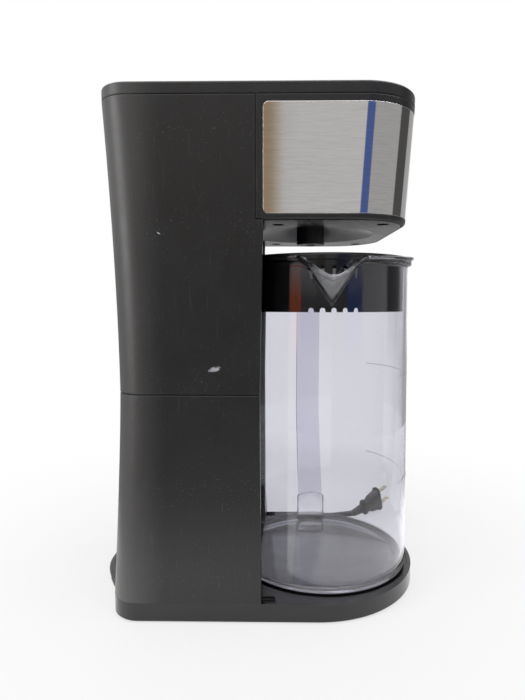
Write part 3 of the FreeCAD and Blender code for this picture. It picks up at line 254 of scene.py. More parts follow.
def column_wear_and_sheen(material, tint):
    """Dust, hairline scratches, a pale scuff and a small scratch, and a painted sheen: the sides painted paler
    towards their back edge, where the rounded corners catch light.
    """
    place = object_place(material)
    split = add_node(material, "ShaderNodeSeparateXYZ")
    link(material, place, split.inputs["Vector"])
    # painted sheen: the sides turn paler towards the back corners, standing in for the light they catch
    sheen_from_back = ramp(material, calculate(material, "MULTIPLY_ADD", split.outputs["X"], 10.0, 1.1),
                     [(0.0, 0.06), (0.4, 0.0)], smooth=True)
    off_centre = calculate(material, "ABSOLUTE", split.outputs["Y"])
    at_side = ramp(material, calculate(material, "MULTIPLY", off_centre, 10.0), [(0.5, 0.0), (0.74, 1.0)])
    painted_sheen = calculate(material, "MULTIPLY", sheen_from_back, at_side)
    tint = blend_colours(material, painted_sheen, tint, (1.0, 0.97, 0.95))
    specks = ramp(material, noise(material, place, 900.0, detail=0.0), [(0.76, 0.0), (0.80, 0.35)])
    hairs = noise(material, object_place(material, (260.0, 260.0, 14.0)), 3.0, detail=2.0)
    hairs = ramp(material, hairs, [(0.66, 0.0), (0.74, 0.10)])
    tint = blend_colours(material, calculate(material, "MULTIPLY", specks, 0.25), tint, (0.30, 0.30, 0.30))
    tint = blend_colours(material, hairs, tint, (0.16, 0.15, 0.14))
    for middle, size, slope in ((SCUFF_MIDDLE, SCUFF_SIZE, 0.25), (SCRATCH_MIDDLE, SCRATCH_SIZE, -0.5)):
        near = add_node(material, "ShaderNodeTexGradient")
        near.gradient_type = "SPHERICAL"
        mapping = add_node(material, "ShaderNodeMapping")
        mapping.vector_type = "TEXTURE"
        mapping.inputs["Location"].default_value = middle
        mapping.inputs["Rotation"].default_value = (0, -slope, 0)
        mapping.inputs["Scale"].default_value = size
        coordinates = add_node(material, "ShaderNodeTexCoord")
        link(material, coordinates.outputs["Object"], mapping.inputs["Vector"])
        link(material, mapping.outputs["Vector"], near.inputs["Vector"])
        rough = noise(material, place, 520.0, detail=4.0, roughness=0.8)
        mark = calculate(material, "MULTIPLY", near.outputs["Fac"], rough)
        mark = ramp(material, mark, [(0.24, 0.0), (0.36, 0.8)])
        tint = blend_colours(material, mark, tint, MARK_GREY)
    return tint


def brushed_steel():
    """Stainless sheet, brushed along X and round the corners, so its lines change with height only."""
    material, shader = new_material("brushed_band_steel")
    lines = noise(material, object_place(material, (22.0, 22.0, 420.0)), 3.0, detail=5.0, roughness=0.75)
    broad = noise(material, object_place(material, (4.0, 4.0, 90.0)), 3.0, detail=3.0)
    tone = ramp(material, lines, [(0.25, (0.53, 0.515, 0.50)), (0.75, (0.67, 0.66, 0.65))])
    link(material, tone, shader.inputs["Base Color"])
    link(material, ramp(material, broad, [(0.3, 0.03), (0.7, 0.06)]), shader.inputs["Roughness"])
    shader.inputs["Metallic"].default_value = 1.0
    add_bump(material, shader, lines, 0.2, 0.00001, 0.0006)
    return material


def plain_steel(name="bare_steel", colour=(0.56, 0.56, 0.57), roughness=0.3):
    material, shader = new_material(name)
    place = object_place(material)
    link(material, ramp(material, noise(material, place, 220.0), [(0.3, roughness * 0.8), (0.7, roughness * 1.25)]),
         shader.inputs["Roughness"])
    tint = noise(material, place, 40.0)
    link(material, ramp(material, tint, [(0.3, tuple(c * 0.9 for c in colour)), (0.7, colour)]),
         shader.inputs["Base Color"])
    shader.inputs["Metallic"].default_value = 1.0
    return material


def woven_steel():
    """Fine wire mesh: crossed wires on the filter's wall and floor."""
    material, shader = new_material("filter_mesh_steel")
    wires = []
    for direction in ("X", "Y", "Z"):
        wave = add_node(material, "ShaderNodeTexWave", Scale=900.0)
        wave.bands_direction = direction
        link(material, object_place(material), wave.inputs["Vector"])
        wires.append(wave.outputs["Fac"])
    weave = calculate(material, "MULTIPLY", calculate(material, "MAXIMUM", wires[0], wires[1]), wires[2])
    link(material, ramp(material, weave, [(0.1, (0.16, 0.16, 0.165)), (0.6, (0.62, 0.62, 0.63))]),
         shader.inputs["Base Color"])
    shader.inputs["Metallic"].default_value = 1.0
    shader.inputs["Roughness"].default_value = 0.35
    add_bump(material, shader, weave, 0.5, 0.0001)
    return material


def clear_plastic(name, tint, roughness=0.02, ior=1.52, depth_colour=None, depth_density=0.0, wear=None):
    """Clear moulded plastic with faint flow marks; thick places take the depth colour."""
    material, shader = new_material(name)
    place = object_place(material)
    shade = ramp(material, noise(material, place, 12.0), [(0.35, tint), (0.65, tuple(c * 0.985 for c in tint))])
    # the wear function also gives painted shade: where it says, the plastic turns opaque and near black
    if wear:
        clear, dark = wear(material)
        shade = blend_colours(material, dark, shade, (0.006, 0.005, 0.009))
        link(material, blend_colours(material, dark, clear, (0.0, 0.0, 0.0)), shader.inputs["Transmission Weight"])
    else:
        shader.inputs["Transmission Weight"].default_value = 1.0
    link(material, shade, shader.inputs["Base Color"])
    shader.inputs["IOR"].default_value = ior
    link(material, ramp(material, noise(material, place, 60.0), [(0.4, roughness * 0.5), (0.7, roughness)]),
         shader.inputs["Roughness"])
    add_bump(material, shader, noise(material, place, 25.0, detail=1.0), 0.15, 0.0001)
    if depth_density:
        absorption = add_node(material, "ShaderNodeVolumeAbsorption", Color=(*depth_colour, 1),
                              Density=depth_density)
        output = material.node_tree.nodes["Material Output"]
        link(material, absorption.outputs["Volume"], output.inputs["Volume"])
    return material


PITCHER_AXIS = mm(38.9, 0.0, 0.0)
WALL_OUTSIDE = 0.0675      # metres from the axis; only the outside of the wall lies farther out
SPOUT_SIDE = -0.05         # the spout lies on this side of the pitcher


def pitcher_wear_shade_and_highlight(material):
    """Clear, but hazed by use at the floor and the foot; paler at the spout, a painted highlight; and painted shade
    where the foot stands in the tray, opaque and near black.
    """
    place = add_node(material, "ShaderNodeTexCoord").outputs["Object"]
    split = add_node(material, "ShaderNodeSeparateXYZ")
    link(material, place, split.inputs["Vector"])
    # tenths of a metre, because a ramp has only 256 steps from 0 to 1
    height = calculate(material, "MULTIPLY", split.outputs["Z"], 10.0)
    wear = noise(material, object_place(material), 55.0, detail=4.0)
    clear = ramp(material, wear, [(0.35, 0.92), (0.65, 0.97)])
    above = ramp(material, height, [(0.172, 0.0), (0.19, 1.0)])
    clear = blend_colours(material, above, clear, (1.0, 1.0, 1.0))
    from_axis = material.node_tree.nodes.new("ShaderNodeVectorMath")
    from_axis.operation = "MULTIPLY_ADD"
    from_axis.inputs[1].default_value = (1, 1, 0)
    from_axis.inputs[2].default_value = -PITCHER_AXIS
    link(material, place, from_axis.inputs[0])
    radius = material.node_tree.nodes.new("ShaderNodeVectorMath")
    radius.operation = "LENGTH"
    link(material, from_axis.outputs["Vector"], radius.inputs[0])
    outside = calculate(material, "GREATER_THAN", radius.outputs["Value"], WALL_OUTSIDE)
    # painted shade: the foot's outside below this height, where it stands in the tray, is painted opaque and near
    # black
    low = ramp(material, height, [(0.151, 1.0), (0.159, 0.0)])
    haze = calculate(material, "MULTIPLY", outside, ramp(material, height, [(0.192, 1.0), (0.200, 0.0)]))
    clear = blend_colours(material, haze, clear, (0.76, 0.76, 0.76))
    # painted highlight: the spout's V is made paler than the rest of the wall
    at_front = calculate(material, "LESS_THAN", split.outputs["Y"], SPOUT_SIDE)
    pushed_out = ramp(material, calculate(material, "MULTIPLY", radius.outputs["Value"], 10.0),
                      [(0.689, 0.0), (0.70, 1.0)])
    spout_height = ramp(material, split.outputs["Z"], [(0.214, 0.0), (0.222, 1.0), (0.242, 1.0), (0.246, 0.0)])
    spout = calculate(material, "MULTIPLY", calculate(material, "MULTIPLY", at_front, pushed_out), spout_height)
    clear = blend_colours(material, spout, clear, (0.86, 0.86, 0.86))
    return clear, calculate(material, "MULTIPLY", outside, low)


def circuit_board():
    """Green solder mask with a faint copper pattern under it."""
    material, shader = new_material("circuit_board")
    place = object_place(material)
    tracks = add_node(material, "ShaderNodeTexBrick", Scale=260.0)
    link(material, place, tracks.inputs["Vector"])
    tracks.inputs["Color1"].default_value = (0.02, 0.13, 0.05, 1)
    tracks.inputs["Color2"].default_value = (0.015, 0.1, 0.04, 1)
    tracks.inputs["Mortar"].default_value = (0.04, 0.2, 0.08, 1)
    link(material, tracks.outputs["Color"], shader.inputs["Base Color"])
    shader.inputs["Roughness"].default_value = 0.35
    return material


def soft_rubber(name="soft_rubber", colour=(0.03, 0.03, 0.032), roughness=0.6):
    return moulded_plastic(name, colour, roughness, variation=0.2, grain=1800.0, grain_depth=0.00004)


FINISHES = {
    "black_gloss": moulded_plastic("column_black", (0.0065, 0.0060, 0.0061), 0.38, grain=3000.0, marks=column_wear_and_sheen),
    "black_satin": moulded_plastic("satin_black", (0.0125, 0.0125, 0.0135), 0.34),
    "black_lid": moulded_plastic("glossy_black", (0.008, 0.008, 0.009), 0.10, grain=600.0),
    "clear_plastic": clear_plastic("clear_pitcher", (0.895, 0.898, 0.92), depth_colour=(0.20, 0.14, 0.55),
                                   depth_density=22.0, wear=pitcher_wear_shade_and_highlight),
    "smoke_tank": clear_plastic("smoky_tank", (0.35, 0.35, 0.38), roughness=0.25),
    "steel_band": brushed_steel(),
    "bare_steel": plain_steel(),
    "button_plastic": moulded_plastic("button_grey", (0.05, 0.05, 0.053), 0.35),
    "lens": clear_plastic("lens_plastic", (0.75, 0.85, 0.95), roughness=0.3),
    "board": circuit_board(),
    "soft_rubber": soft_rubber(),
    "cord_black": soft_rubber("cord_sheath", (0.016, 0.016, 0.017), 0.42),
    "plug_brass": plain_steel("plug_blades_brass", (0.62, 0.56, 0.42), 0.22),
}
PRINT_WHITE = moulded_plastic("printed_white", (0.62, 0.62, 0.62), 0.5, variation=0.05, edge=0.0)
# painted glint: a pale grey for the sheet behind the lid's strainer slots, standing in for the light seen in them
SLOT_GLINT_GREY = moulded_plastic("slot_glint_grey", (0.33, 0.33, 0.35), 0.45, variation=0.2, grain=4000.0, edge=0.0)
# painted shade: a darker, less glossy copy of the black plastic for the underside of the head
UNDERSIDE_SHADED_BLACK = moulded_plastic("underside_shaded_black", (0.009, 0.009, 0.010), 0.22, grain=1200.0, edge=0.0006,
                                  gloss_level=0.2)
SPECIAL_FINISHES = {"mesh_filter": woven_steel(), "head_bottom_cover": UNDERSIDE_SHADED_BLACK,
                    "base_tray": moulded_plastic("tray_black", (0.008, 0.008, 0.009), 0.16),
                    "outlet_nozzle": moulded_plastic("nozzle_black", (0.022, 0.022, 0.024), 0.3)}


def finish_nodes():
    """Every piece of the frame takes the finish of its own material slot."""
    slots = {row["node"]: row["material_slot"] for row in frame["record"]["subparts"]}
    for name, node in frame["nodes"].items():
        node.data.materials.clear()
        node.data.materials.append(SPECIAL_FINISHES.get(name, FINISHES[slots[name]]))


finish_nodes()
mains_lead.data.materials.append(FINISHES["cord_black"])


# ---------------------------------------------------------------- mesh helpers

def make_piece(name, mesh, finish, body, sharp=math.radians(35), tidy=True):
    """A finished piece from a bmesh in millimetres: smooth, sharp only where it turns a corner."""
    if tidy:
        bmesh.ops.remove_doubles(mesh, verts=mesh.verts, dist=0.0005)
        bmesh.ops.recalc_face_normals(mesh, faces=mesh.faces)
    for face in mesh.faces:
        face.smooth = True
    for edge in mesh.edges:
        if len(edge.link_faces) == 2 and edge.calc_face_angle(0) > sharp:
            edge.smooth = False
    bmesh.ops.scale(mesh, vec=(MM, MM, MM), verts=mesh.verts)
    data = bpy.data.meshes.new(name)
    mesh.to_mesh(data)
    mesh.free()
    piece = bpy.data.objects.new(name, data)
    bpy.context.scene.collection.objects.link(piece)
    data.materials.append(finish)
    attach(piece, body)
    return piece


def band_way(place):
    """The way the band's outside faces at a place: to the side, round a corner, or to the front."""
    front = band_high.x - BAND_LEAN * (band_high.z - place.z)
    corner_x = front - HEAD_CORNER_R
    corner_y = band_high.y - HEAD_CORNER_R
    turn = math.atan2(max(0.0, abs(place.y) - corner_y), max(0.001, place.x - corner_x))
    if place.x < corner_x:
        turn = math.pi / 2
    side = math.copysign(math.sin(turn), place.y)
    lean = BAND_LEAN * math.cos(turn) + BAND_SIDE_LEAN * math.sin(turn)
    return Vector((math.cos(turn), side, -lean)).normalized()


def make_band():
    """The steel band: its sheet cut at even steps round the corners, and shaded as one smooth sweep."""
    mesh = bmesh.new()
    mesh.from_mesh(frame["nodes"]["steel_band"].data)
    bmesh.ops.scale(mesh, vec=(1 / MM, 1 / MM, 1 / MM), verts=mesh.verts)
    bmesh.ops.remove_doubles(mesh, verts=mesh.verts, dist=0.001)
    corner_x = band_high.x - HEAD_CORNER_R - 2
    cuts = [corner_x - 20] + [corner_x + HEAD_CORNER_R * math.sin(math.radians(5 * i)) for i in range(18)]
    for x in cuts:
        bmesh.ops.bisect_plane(mesh, geom=mesh.verts[:] + mesh.edges[:] + mesh.faces[:], dist=0.0001,
                               plane_co=(x, 0, 0), plane_no=(1, 0, 0))
    mesh.normal_update()
    ways = []
    for face in mesh.faces:
        for loop in face.loops:
            way = band_way(loop.vert.co)
            ways.append(way if face.normal.dot(band_way(face.calc_center_median())) > 0.9 else face.normal.copy())
    piece = make_piece("band_sheet", mesh, FINISHES["steel_band"], "machine", tidy=False)
    piece.data.normals_split_custom_set(ways)
    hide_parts("steel_band")


def outline(mesh, points, closed=False):
    """Points joined by edges, ready to spin or extrude."""
    verts = [mesh.verts.new(point) for point in points]
    edges = [mesh.edges.new(pair) for pair in zip(verts, verts[1:])]
    if closed:
        edges.append(mesh.edges.new((verts[-1], verts[0])))
    return verts + edges


def spin_outline(mesh, points, middle, axis, start, angle, steps):
    """Turns an outline about an axis, from a start angle; a full turn closes on itself."""
    geometry = outline(mesh, points)
    verts = [item for item in geometry if isinstance(item, bmesh.types.BMVert)]
    turn = Matrix.Rotation(start, 3, axis)
    bmesh.ops.rotate(mesh, cent=middle, matrix=turn, verts=verts)
    full = abs(angle - 2 * math.pi) < 1e-6
    bmesh.ops.spin(mesh, geom=geometry, cent=middle, axis=axis, angle=angle, steps=steps, use_merge=full)


def sweep(mesh, ring, frames, cap=True):
    """Carries a closed ring of points through a row of frames and closes both ends."""
    geometry = outline(mesh, [frames[0] @ Vector(point) for point in ring], closed=True)
    edges = [item for item in geometry if isinstance(item, bmesh.types.BMEdge)]
    first = edges
    for before, after in zip(frames, frames[1:]):
        grown = bmesh.ops.extrude_edge_only(mesh, edges=edges)["geom"]
        verts = [item for item in grown if isinstance(item, bmesh.types.BMVert)]
        edges = [item for item in grown if isinstance(item, bmesh.types.BMEdge)]
        bmesh.ops.transform(mesh, matrix=after @ before.inverted(), verts=verts)
    if cap:
        bmesh.ops.contextual_create(mesh, geom=first)
        bmesh.ops.contextual_create(mesh, geom=edges)


def smoothstep(value):
    value = min(1.0, max(0.0, value))
    return value * value * (3 - 2 * value)


# ---------------------------------------------------------------- steel band

band_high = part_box("steel_band")[1] / MM
HEAD_CORNER_R = 40.0
BAND_LEAN = 0.0585         # how far the head's front leans back for each mm down
BAND_SIDE_LEAN = 0.0195
make_band()


# ---------------------------------------------------------------- pitcher

pitcher_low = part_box("pitcher_body")[0] / MM
lid_low, lid_high = (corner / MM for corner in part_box("pitcher_lid"))
PITCHER_X = (lid_low.x + lid_high.x) / 2
lid_flange_r = (lid_high.x - lid_low.x) / 2
SEAT_Z = pitcher_low.z
LIP_Z = lid_high.z - 4.5
FOOT_R = 70.0
LIP_R = 67.6
PITCHER_WALL = 2.6
PITCHER_FLOOR = 4.0
FOOT_ROUND = 2.5
COLLAR_R = lid_flange_r + 0.5     # inside of the collar that stands round the lid's flange
COLLAR_SLOPE = 0.066
BEAD_R = 1.1
BEAD_X = COLLAR_R + BEAD_R + 0.5
BEAD_Z = LIP_Z + 1.1
PITCHER_TURN = math.radians(1.3)
SPOUT_HEIGHT = 31.0
SPOUT_TIP_Z = LIP_Z - SPOUT_HEIGHT
SPOUT_HALF = 21.0         # half the spout's width where it meets the wall, at the lip's height
CREASE_SOFT = 0.25
SPOUT_REACH = 9.5
DIP_DEPTH = 13.1
DIP_HALF = 23.4
HANDLE_WIDTH = 24.1
HANDLE_THICKNESS = 8.5
HANDLE_CROWN = 2.3
HANDLE_REACH = 42.0
HANDLE_TOP_Z = LIP_Z - 12.3
HANDLE_FOOT_Z = 15.6
HANDLE_FOOT_HEIGHT = 21.0
HANDLE_SINK = 1.4         # how far the handle's foot reaches into the wall
SCALE_RINGS = [(86.0, -37, 44), (167.0, -37, 44), (223.0, 28, 44)]     # height, and degrees about the front
RING_R = 0.4
SEAM_R = 0.7
SKIRT_GAP = 0.6           # from the pitcher's wall to the skirt of its lid
SKIRT_WALL = 1.8
SCREEN_THICKNESS = 0.4


def pitcher_r(z):
    return FOOT_R + (LIP_R - FOOT_R) * (z - SEAT_Z) / (LIP_Z - SEAT_Z)


def quarter(x, z, r, start, steps=4):
    """Points of a quarter round about a middle, anticlockwise from a start angle in degrees."""
    angles = [math.radians(start + 90 * i / steps) for i in range(steps + 1)]
    return [(x + r * math.cos(a), 0, z + r * math.sin(a)) for a in angles]


def pitcher_outline():
    """Half section, from the middle of the underside out, up the wall, round the collar's bead and back down."""
    floor = SEAT_Z + PITCHER_FLOOR
    points = [(0, 0, SEAT_Z + 1.5), (FOOT_R - 9, 0, SEAT_Z + 1.5), (FOOT_R - 7.5, 0, SEAT_Z)]
    points += quarter(pitcher_r(SEAT_Z + FOOT_ROUND) - FOOT_ROUND, SEAT_Z + FOOT_ROUND, FOOT_ROUND, -90, 6)
    rows = [30, 60, 90, 120, 150, 180, 205] + [210 + 1.3 * i for i in range(28)]
    points += [(pitcher_r(z), 0, z) for z in rows if z < LIP_Z - 5]
    flare = [(0.05, 2.9), (0.35, 2.1), (1.0, 1.6), (2.2, 1.3), (2.9, 0.9)]
    points += [(LIP_R + out, 0, LIP_Z - down) for out, down in flare]
    points += [(COLLAR_R + 1.15, 0, LIP_Z + 0.1)]
    points += quarter(BEAD_X, BEAD_Z, BEAD_R, -120) + quarter(BEAD_X, BEAD_Z, BEAD_R, -30)[1:]
    points += quarter(BEAD_X, BEAD_Z, BEAD_R, 60, 3)[1:]
    points += [(COLLAR_R, 0, BEAD_Z), (COLLAR_R, 0, LIP_Z + 0.3), (COLLAR_R - 0.5, 0, LIP_Z - 0.15)]
    inner_r = LIP_R - PITCHER_WALL
    points += quarter(inner_r + 3.2, LIP_Z - 3.3, 3.2, 90)
    points += [(pitcher_r(z) - PITCHER_WALL, 0, z) for z in reversed(rows) if z < LIP_Z - 3.8]
    inner = pitcher_r(floor) - PITCHER_WALL
    points += reversed(quarter(inner - 1.2, floor + 1.2, 1.2, -90))
    points.append((0, 0, floor))
    return points


def raise_collar(place):
    """The collar stands higher towards the sides and the handle than at the spout."""
    x, y, z = place
    share = min(1.0, (z - LIP_Z + 1.0) / 1.2)
    if share <= 0 or math.hypot(x, y) < COLLAR_R - 0.1:
        return place
    forward = min(y, 0.0)
    rise = COLLAR_SLOPE * (forward + FOOT_R - 1.0) + 1.0 - math.exp(-max(y, 0.0) * COLLAR_SLOPE)
    return Vector((x, y, z + rise * share))


def push_spout(place):
    """Where a point of the wall goes: down with the lip's dip, and out onto the spout's leaning cone."""
    x, y, z = place
    if y > 0:
        return place
    wall = math.hypot(x, y)
    offset = wall - pitcher_r(min(z, LIP_Z))
    if abs(x) < DIP_HALF:
        drop = DIP_DEPTH * (1 + math.cos(math.pi * x / DIP_HALF)) / 2
        z -= drop * smoothstep((z - LIP_Z + 30) / 30)
    share = (z - SPOUT_TIP_Z) / SPOUT_HEIGHT
    if share <= 0.01:
        return Vector((x, y, z))
    r = pitcher_r(z)
    half = SPOUT_HALF * share
    front = r + SPOUT_REACH * share
    rise = front - math.sqrt(r * r - half * half)
    cone_r = (half * half + rise * rise) / (2 * rise)
    cone_y = front - cone_r
    side, ahead = x / wall, -y / wall
    inside_root = (cone_r + offset) ** 2 - (cone_y * side) ** 2
    if cone_r + offset <= 0 or inside_root <= 0:
        return Vector((x, y, z))
    grow = cone_y * ahead + math.sqrt(inside_root) - (r + offset)
    soft = CREASE_SOFT * min(1.0, 3 * share)
    grow = soft * math.log1p(math.exp(min(40.0, grow / soft))) - soft * math.log(2.0) * math.exp(-abs(grow) / soft)
    grow = max(0.0, grow)
    return Vector((side * (r + offset + grow), -ahead * (r + offset + grow), z))


def strap_frames():
    """Frames along the handle's middle line: out at the top, down, and in along the slanting leg."""
    leg = math.asin(HANDLE_THICKNESS / HANDLE_FOOT_HEIGHT)
    half = HANDLE_THICKNESS / 2
    out_y = FOOT_R + HANDLE_REACH - half
    top_z = HANDLE_TOP_Z - half
    foot_z = HANDLE_FOOT_Z + HANDLE_FOOT_HEIGHT / 2
    bend, knee = 12.0, 56.0
    places = [(LIP_R - 1.8, top_z, 0.0), (80.0, top_z, 0.0)]
    for i in range(9):
        a = math.pi / 2 * i / 8
        places.append((out_y - bend + bend * math.sin(a), top_z - bend + bend * math.cos(a), -a))
    knee_z = foot_z + (out_y - FOOT_R) / math.tan(leg)
    reach = knee * math.tan(leg / 2)
    for i in range(7):
        a = leg * i / 6
        places.append((out_y - knee * (1 - math.cos(a)), knee_z + reach - knee * math.sin(a), -math.pi / 2 - a))
    places.append((FOOT_R + 14, foot_z + 14 / math.tan(leg), -math.pi / 2 - leg))
    places.append((FOOT_R - HANDLE_SINK, foot_z - HANDLE_SINK / math.tan(leg), -math.pi / 2 - leg))
    return [Matrix.Translation((0, y, z)) @ Matrix.Rotation(turn, 4, "X") for y, z, turn in places], leg


def strap_section():
    """The strap across: flat outside, crowned inside, its corners rounded. X is across, Z outward."""
    w, t, r = HANDLE_WIDTH / 2, HANDLE_THICKNESS / 2, 1.6
    low = -t + HANDLE_CROWN
    points = [(x, 0, z) for x, _, z in quarter(w - r, t - r, r, 0)]
    points += [(x, 0, z) for x, _, z in quarter(-w + r, t - r, r, 90)]
    steps = 12
    for i in range(steps + 1):
        x = (w - 0.5) * (2 * i / steps - 1)
        points.append((x, 0, low - HANDLE_CROWN * (1 - (x / w) ** 2)))
    return points


def add_handle(mesh):
    """The handle, its foot cut to the pitcher's wall."""
    before = set(mesh.verts)
    frames, leg = strap_frames()
    sweep(mesh, strap_section(), frames)
    strap = [v for v in mesh.verts if v not in before]
    foot_y = FOOT_R - HANDLE_SINK
    last = frames[-1].inverted()
    for vert in strap:
        along = (last @ vert.co).y
        if abs(along) < 0.01 and vert.co.z < HANDLE_FOOT_Z + HANDLE_FOOT_HEIGHT + 8:
            slide = vert.co.y - foot_y
            vert.co += Vector((0, -slide, -slide / math.tan(leg)))
    for vert in strap:
        vert.co.z = max(vert.co.z, HANDLE_FOOT_Z)


def add_bead(mesh, points, radius, closed=False, sides=6):
    """A thin round bead along a row of points."""
    ring = [(radius * math.cos(2 * math.pi * i / sides), radius * math.sin(2 * math.pi * i / sides), 0)
            for i in range(sides)]
    points = [Vector(point) for point in points]
    frames = []
    for i, point in enumerate(points):
        before = points[i - 1] if closed or i else point
        after = points[(i + 1) % len(points)] if closed or i < len(points) - 1 else point
        turn = (after - before).to_track_quat("Z", "Y")
        frames.append(Matrix.Translation(point) @ turn.to_matrix().to_4x4())
    sweep(mesh, ring, frames + frames[:1] if closed else frames, cap=not closed)


def add_scale_rings(mesh):
    """Raised lines that mark how full the pitcher is."""
    steps = 40
    for z, start, end in SCALE_RINGS:
        angles = [math.radians(start + (end - start) * i / steps) for i in range(steps + 1)]
        r = pitcher_r(z)
        add_bead(mesh, [(r * math.cos(a), r * math.sin(a), z) for a in angles], RING_R)


def add_foot_seam(mesh):
    """The raised seam round the handle's foot, where it joins the wall."""
    half, low, high = HANDLE_WIDTH / 2 + 0.4, HANDLE_FOOT_Z + 0.6, HANDLE_FOOT_Z + HANDLE_FOOT_HEIGHT
    corner = 1.6
    flat = [(x, z) for x, _, z in quarter(half - corner, low + corner, corner, -90, 3)]
    steps = 10
    for i in range(steps + 1):
        x = half * (1 - 2 * i / steps)
        flat.append((x, high + HANDLE_CROWN * (1 - (x / half) ** 2)))
    flat += [(x, z) for x, _, z in quarter(corner - half, low + corner, corner, 180, 3)]
    points = [(x, math.sqrt(pitcher_r(z) ** 2 - x * x), z) for x, z in flat]
    add_bead(mesh, points, SEAM_R, closed=True)


def make_pitcher():
    mesh = bmesh.new()
    section = pitcher_outline()
    front = math.radians(40)
    upright = Vector((0, 0, 1))
    spin_outline(mesh, section, (0, 0, 0), upright, -math.pi / 2 - front, 2 * front, 176)
    spin_outline(mesh, section, (0, 0, 0), upright, -math.pi / 2 + front, 2 * math.pi - 2 * front, 154)
    bmesh.ops.remove_doubles(mesh, verts=mesh.verts, dist=0.002)
    for vert in mesh.verts:
        if vert.co.z > SPOUT_TIP_Z - 12:
            vert.co = push_spout(raise_collar(vert.co))
    add_handle(mesh)
    add_foot_seam(mesh)
    add_scale_rings(mesh)
    bmesh.ops.rotate(mesh, cent=(0, 0, 0), matrix=Matrix.Rotation(PITCHER_TURN, 3, "Z"), verts=mesh.verts)
    bmesh.ops.translate(mesh, vec=(PITCHER_X, 0, 0), verts=mesh.verts)
    piece = make_piece("pitcher_shell", mesh, FINISHES["clear_plastic"], "pitcher")
    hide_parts("pitcher_body")


def make_slot_glint_sheet():
    """A pale grey sheet behind the strainer slots of the pitcher's lid: a painted glint, so the slots show light."""
    mesh = bmesh.new()
    r = LIP_R - PITCHER_WALL - SKIRT_GAP - SKIRT_WALL - SCREEN_THICKNESS
    inside = r - SCREEN_THICKNESS
    half = math.radians(19)
    low, high = LIP_Z - 21.6, LIP_Z - 6.0
    strip = [(r, 0, low), (r, 0, high), (inside, 0, high), (inside, 0, low), (r, 0, low)]
    spin_outline(mesh, strip, (0, 0, 0), Vector((0, 0, 1)), -math.pi / 2 - half + math.radians(3), 2 * half, 30)
    bmesh.ops.holes_fill(mesh, edges=mesh.edges, sides=8)
    bmesh.ops.translate(mesh, vec=(PITCHER_X, 0, 0), verts=mesh.verts)
    make_piece("slot_glint_sheet", mesh, SLOT_GLINT_GREY, "pitcher_cover")


make_pitcher()
make_slot_glint_sheet()


# ---------------------------------------------------------------- plug

def plug_matrix():
    """Plug coordinates, x along the blades and y across them, to the plug's place."""
    along = PLUG_AXIS
    across = (PLUG_LONG - along * along.dot(PLUG_LONG)).normalized()
    up = along.cross(across)
    turned = Matrix((along, across, up)).transposed().to_4x4()
    return Matrix.Translation(PLUG_TIP) @ turned


def oval(sides=32):
    """A rounded oval across the plug, one unit from its middle each way."""
    points = []
    for i in range(sides):
        a = 2 * math.pi * i / sides
        c, s = math.cos(a), math.sin(a)
        points.append((0, math.copysign(abs(c) ** 0.62, c), math.copysign(abs(s) ** 0.8, s)))
    return points


def plug_stations():
    """Where the plug's outline changes: distance behind its face, and its half width and half thickness."""
    stations = [(0.0, 11.6, 5.8), (-0.5, 12.4, 6.6), (-2.5, 12.7, 6.9), (-3.1, 12.1, 6.6), (-3.5, 10.8, 6.3),
                (-9.0, 9.9, 6.2), (-15.0, 8.8, 6.0), (-18.0, 7.2, 5.5), (-20.4, 6.0, 4.8), (-21.8, 6.4, 4.7),
                (-23.3, 7.9, 4.6), (-25.6, 8.2, 4.5), (-26.7, 7.8, 4.3), (-27.1, 5.0, 4.3)]
    ribs = 4
    pitch = (PLUG_NECK_LENGTH - 1.0) / ribs
    for i in range(ribs):
        x = -27.3 - pitch * i
        thick = 4.7 - 0.25 * i
        thin = 3.9 - 0.1 * i
        stations += [(x, thick - 0.2, thick - 0.2), (x - 0.3, thick, thick), (x - 2.1, thick, thick),
                     (x - 2.4, thin, thin), (x - pitch + 0.2, thin, thin)]
    stations.append((-PLUG_BODY_LENGTH - PLUG_NECK_LENGTH, 3.4, 3.4))
    return stations


def make_plug():
    mesh = bmesh.new()
    stations = plug_stations()
    frames = [Matrix.Translation((x, 0, 0)) @ Matrix.Diagonal((1, long_half, short_half, 1))
              for x, long_half, short_half in stations]
    sweep(mesh, oval(), frames)
    for vert in mesh.verts:
        if vert.co.x < -PLUG_BODY_LENGTH:
            r = math.hypot(vert.co.y, vert.co.z)
            station = min(stations, key=lambda row: abs(row[0] - vert.co.x))
            vert.co.y *= station[1] / r
            vert.co.z *= station[2] / r
    bmesh.ops.transform(mesh, matrix=plug_matrix(), verts=mesh.verts)
    piece = make_piece("plug_moulding", mesh, FINISHES["cord_black"], "machine")
    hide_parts("plug_body")
    return piece


plug_moulding = make_plug()


# ---------------------------------------------------------------- buttons

BUTTON_R = 6.5
BUTTON_DISH = 0.55
BUTTON_RIM = 1.4          # from the key's edge to its dish
BUTTON_ROUND = 0.8
STEM_R = 2.2
FLANGE_BACK = 6.1         # from the key's face to the back of its flange
FLANGE_SIZE = 1.2
PRINT_THICKNESS = 0.16
KEYS = {"power": "power_key", "strength": "strength_key", "clean": "clean_key"}


def button_middle(name):
    low, high = (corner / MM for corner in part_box(name + "_button"))
    return Vector((high.x, (low.y + high.y) / 2, (low.z + high.z) / 2)), low.x


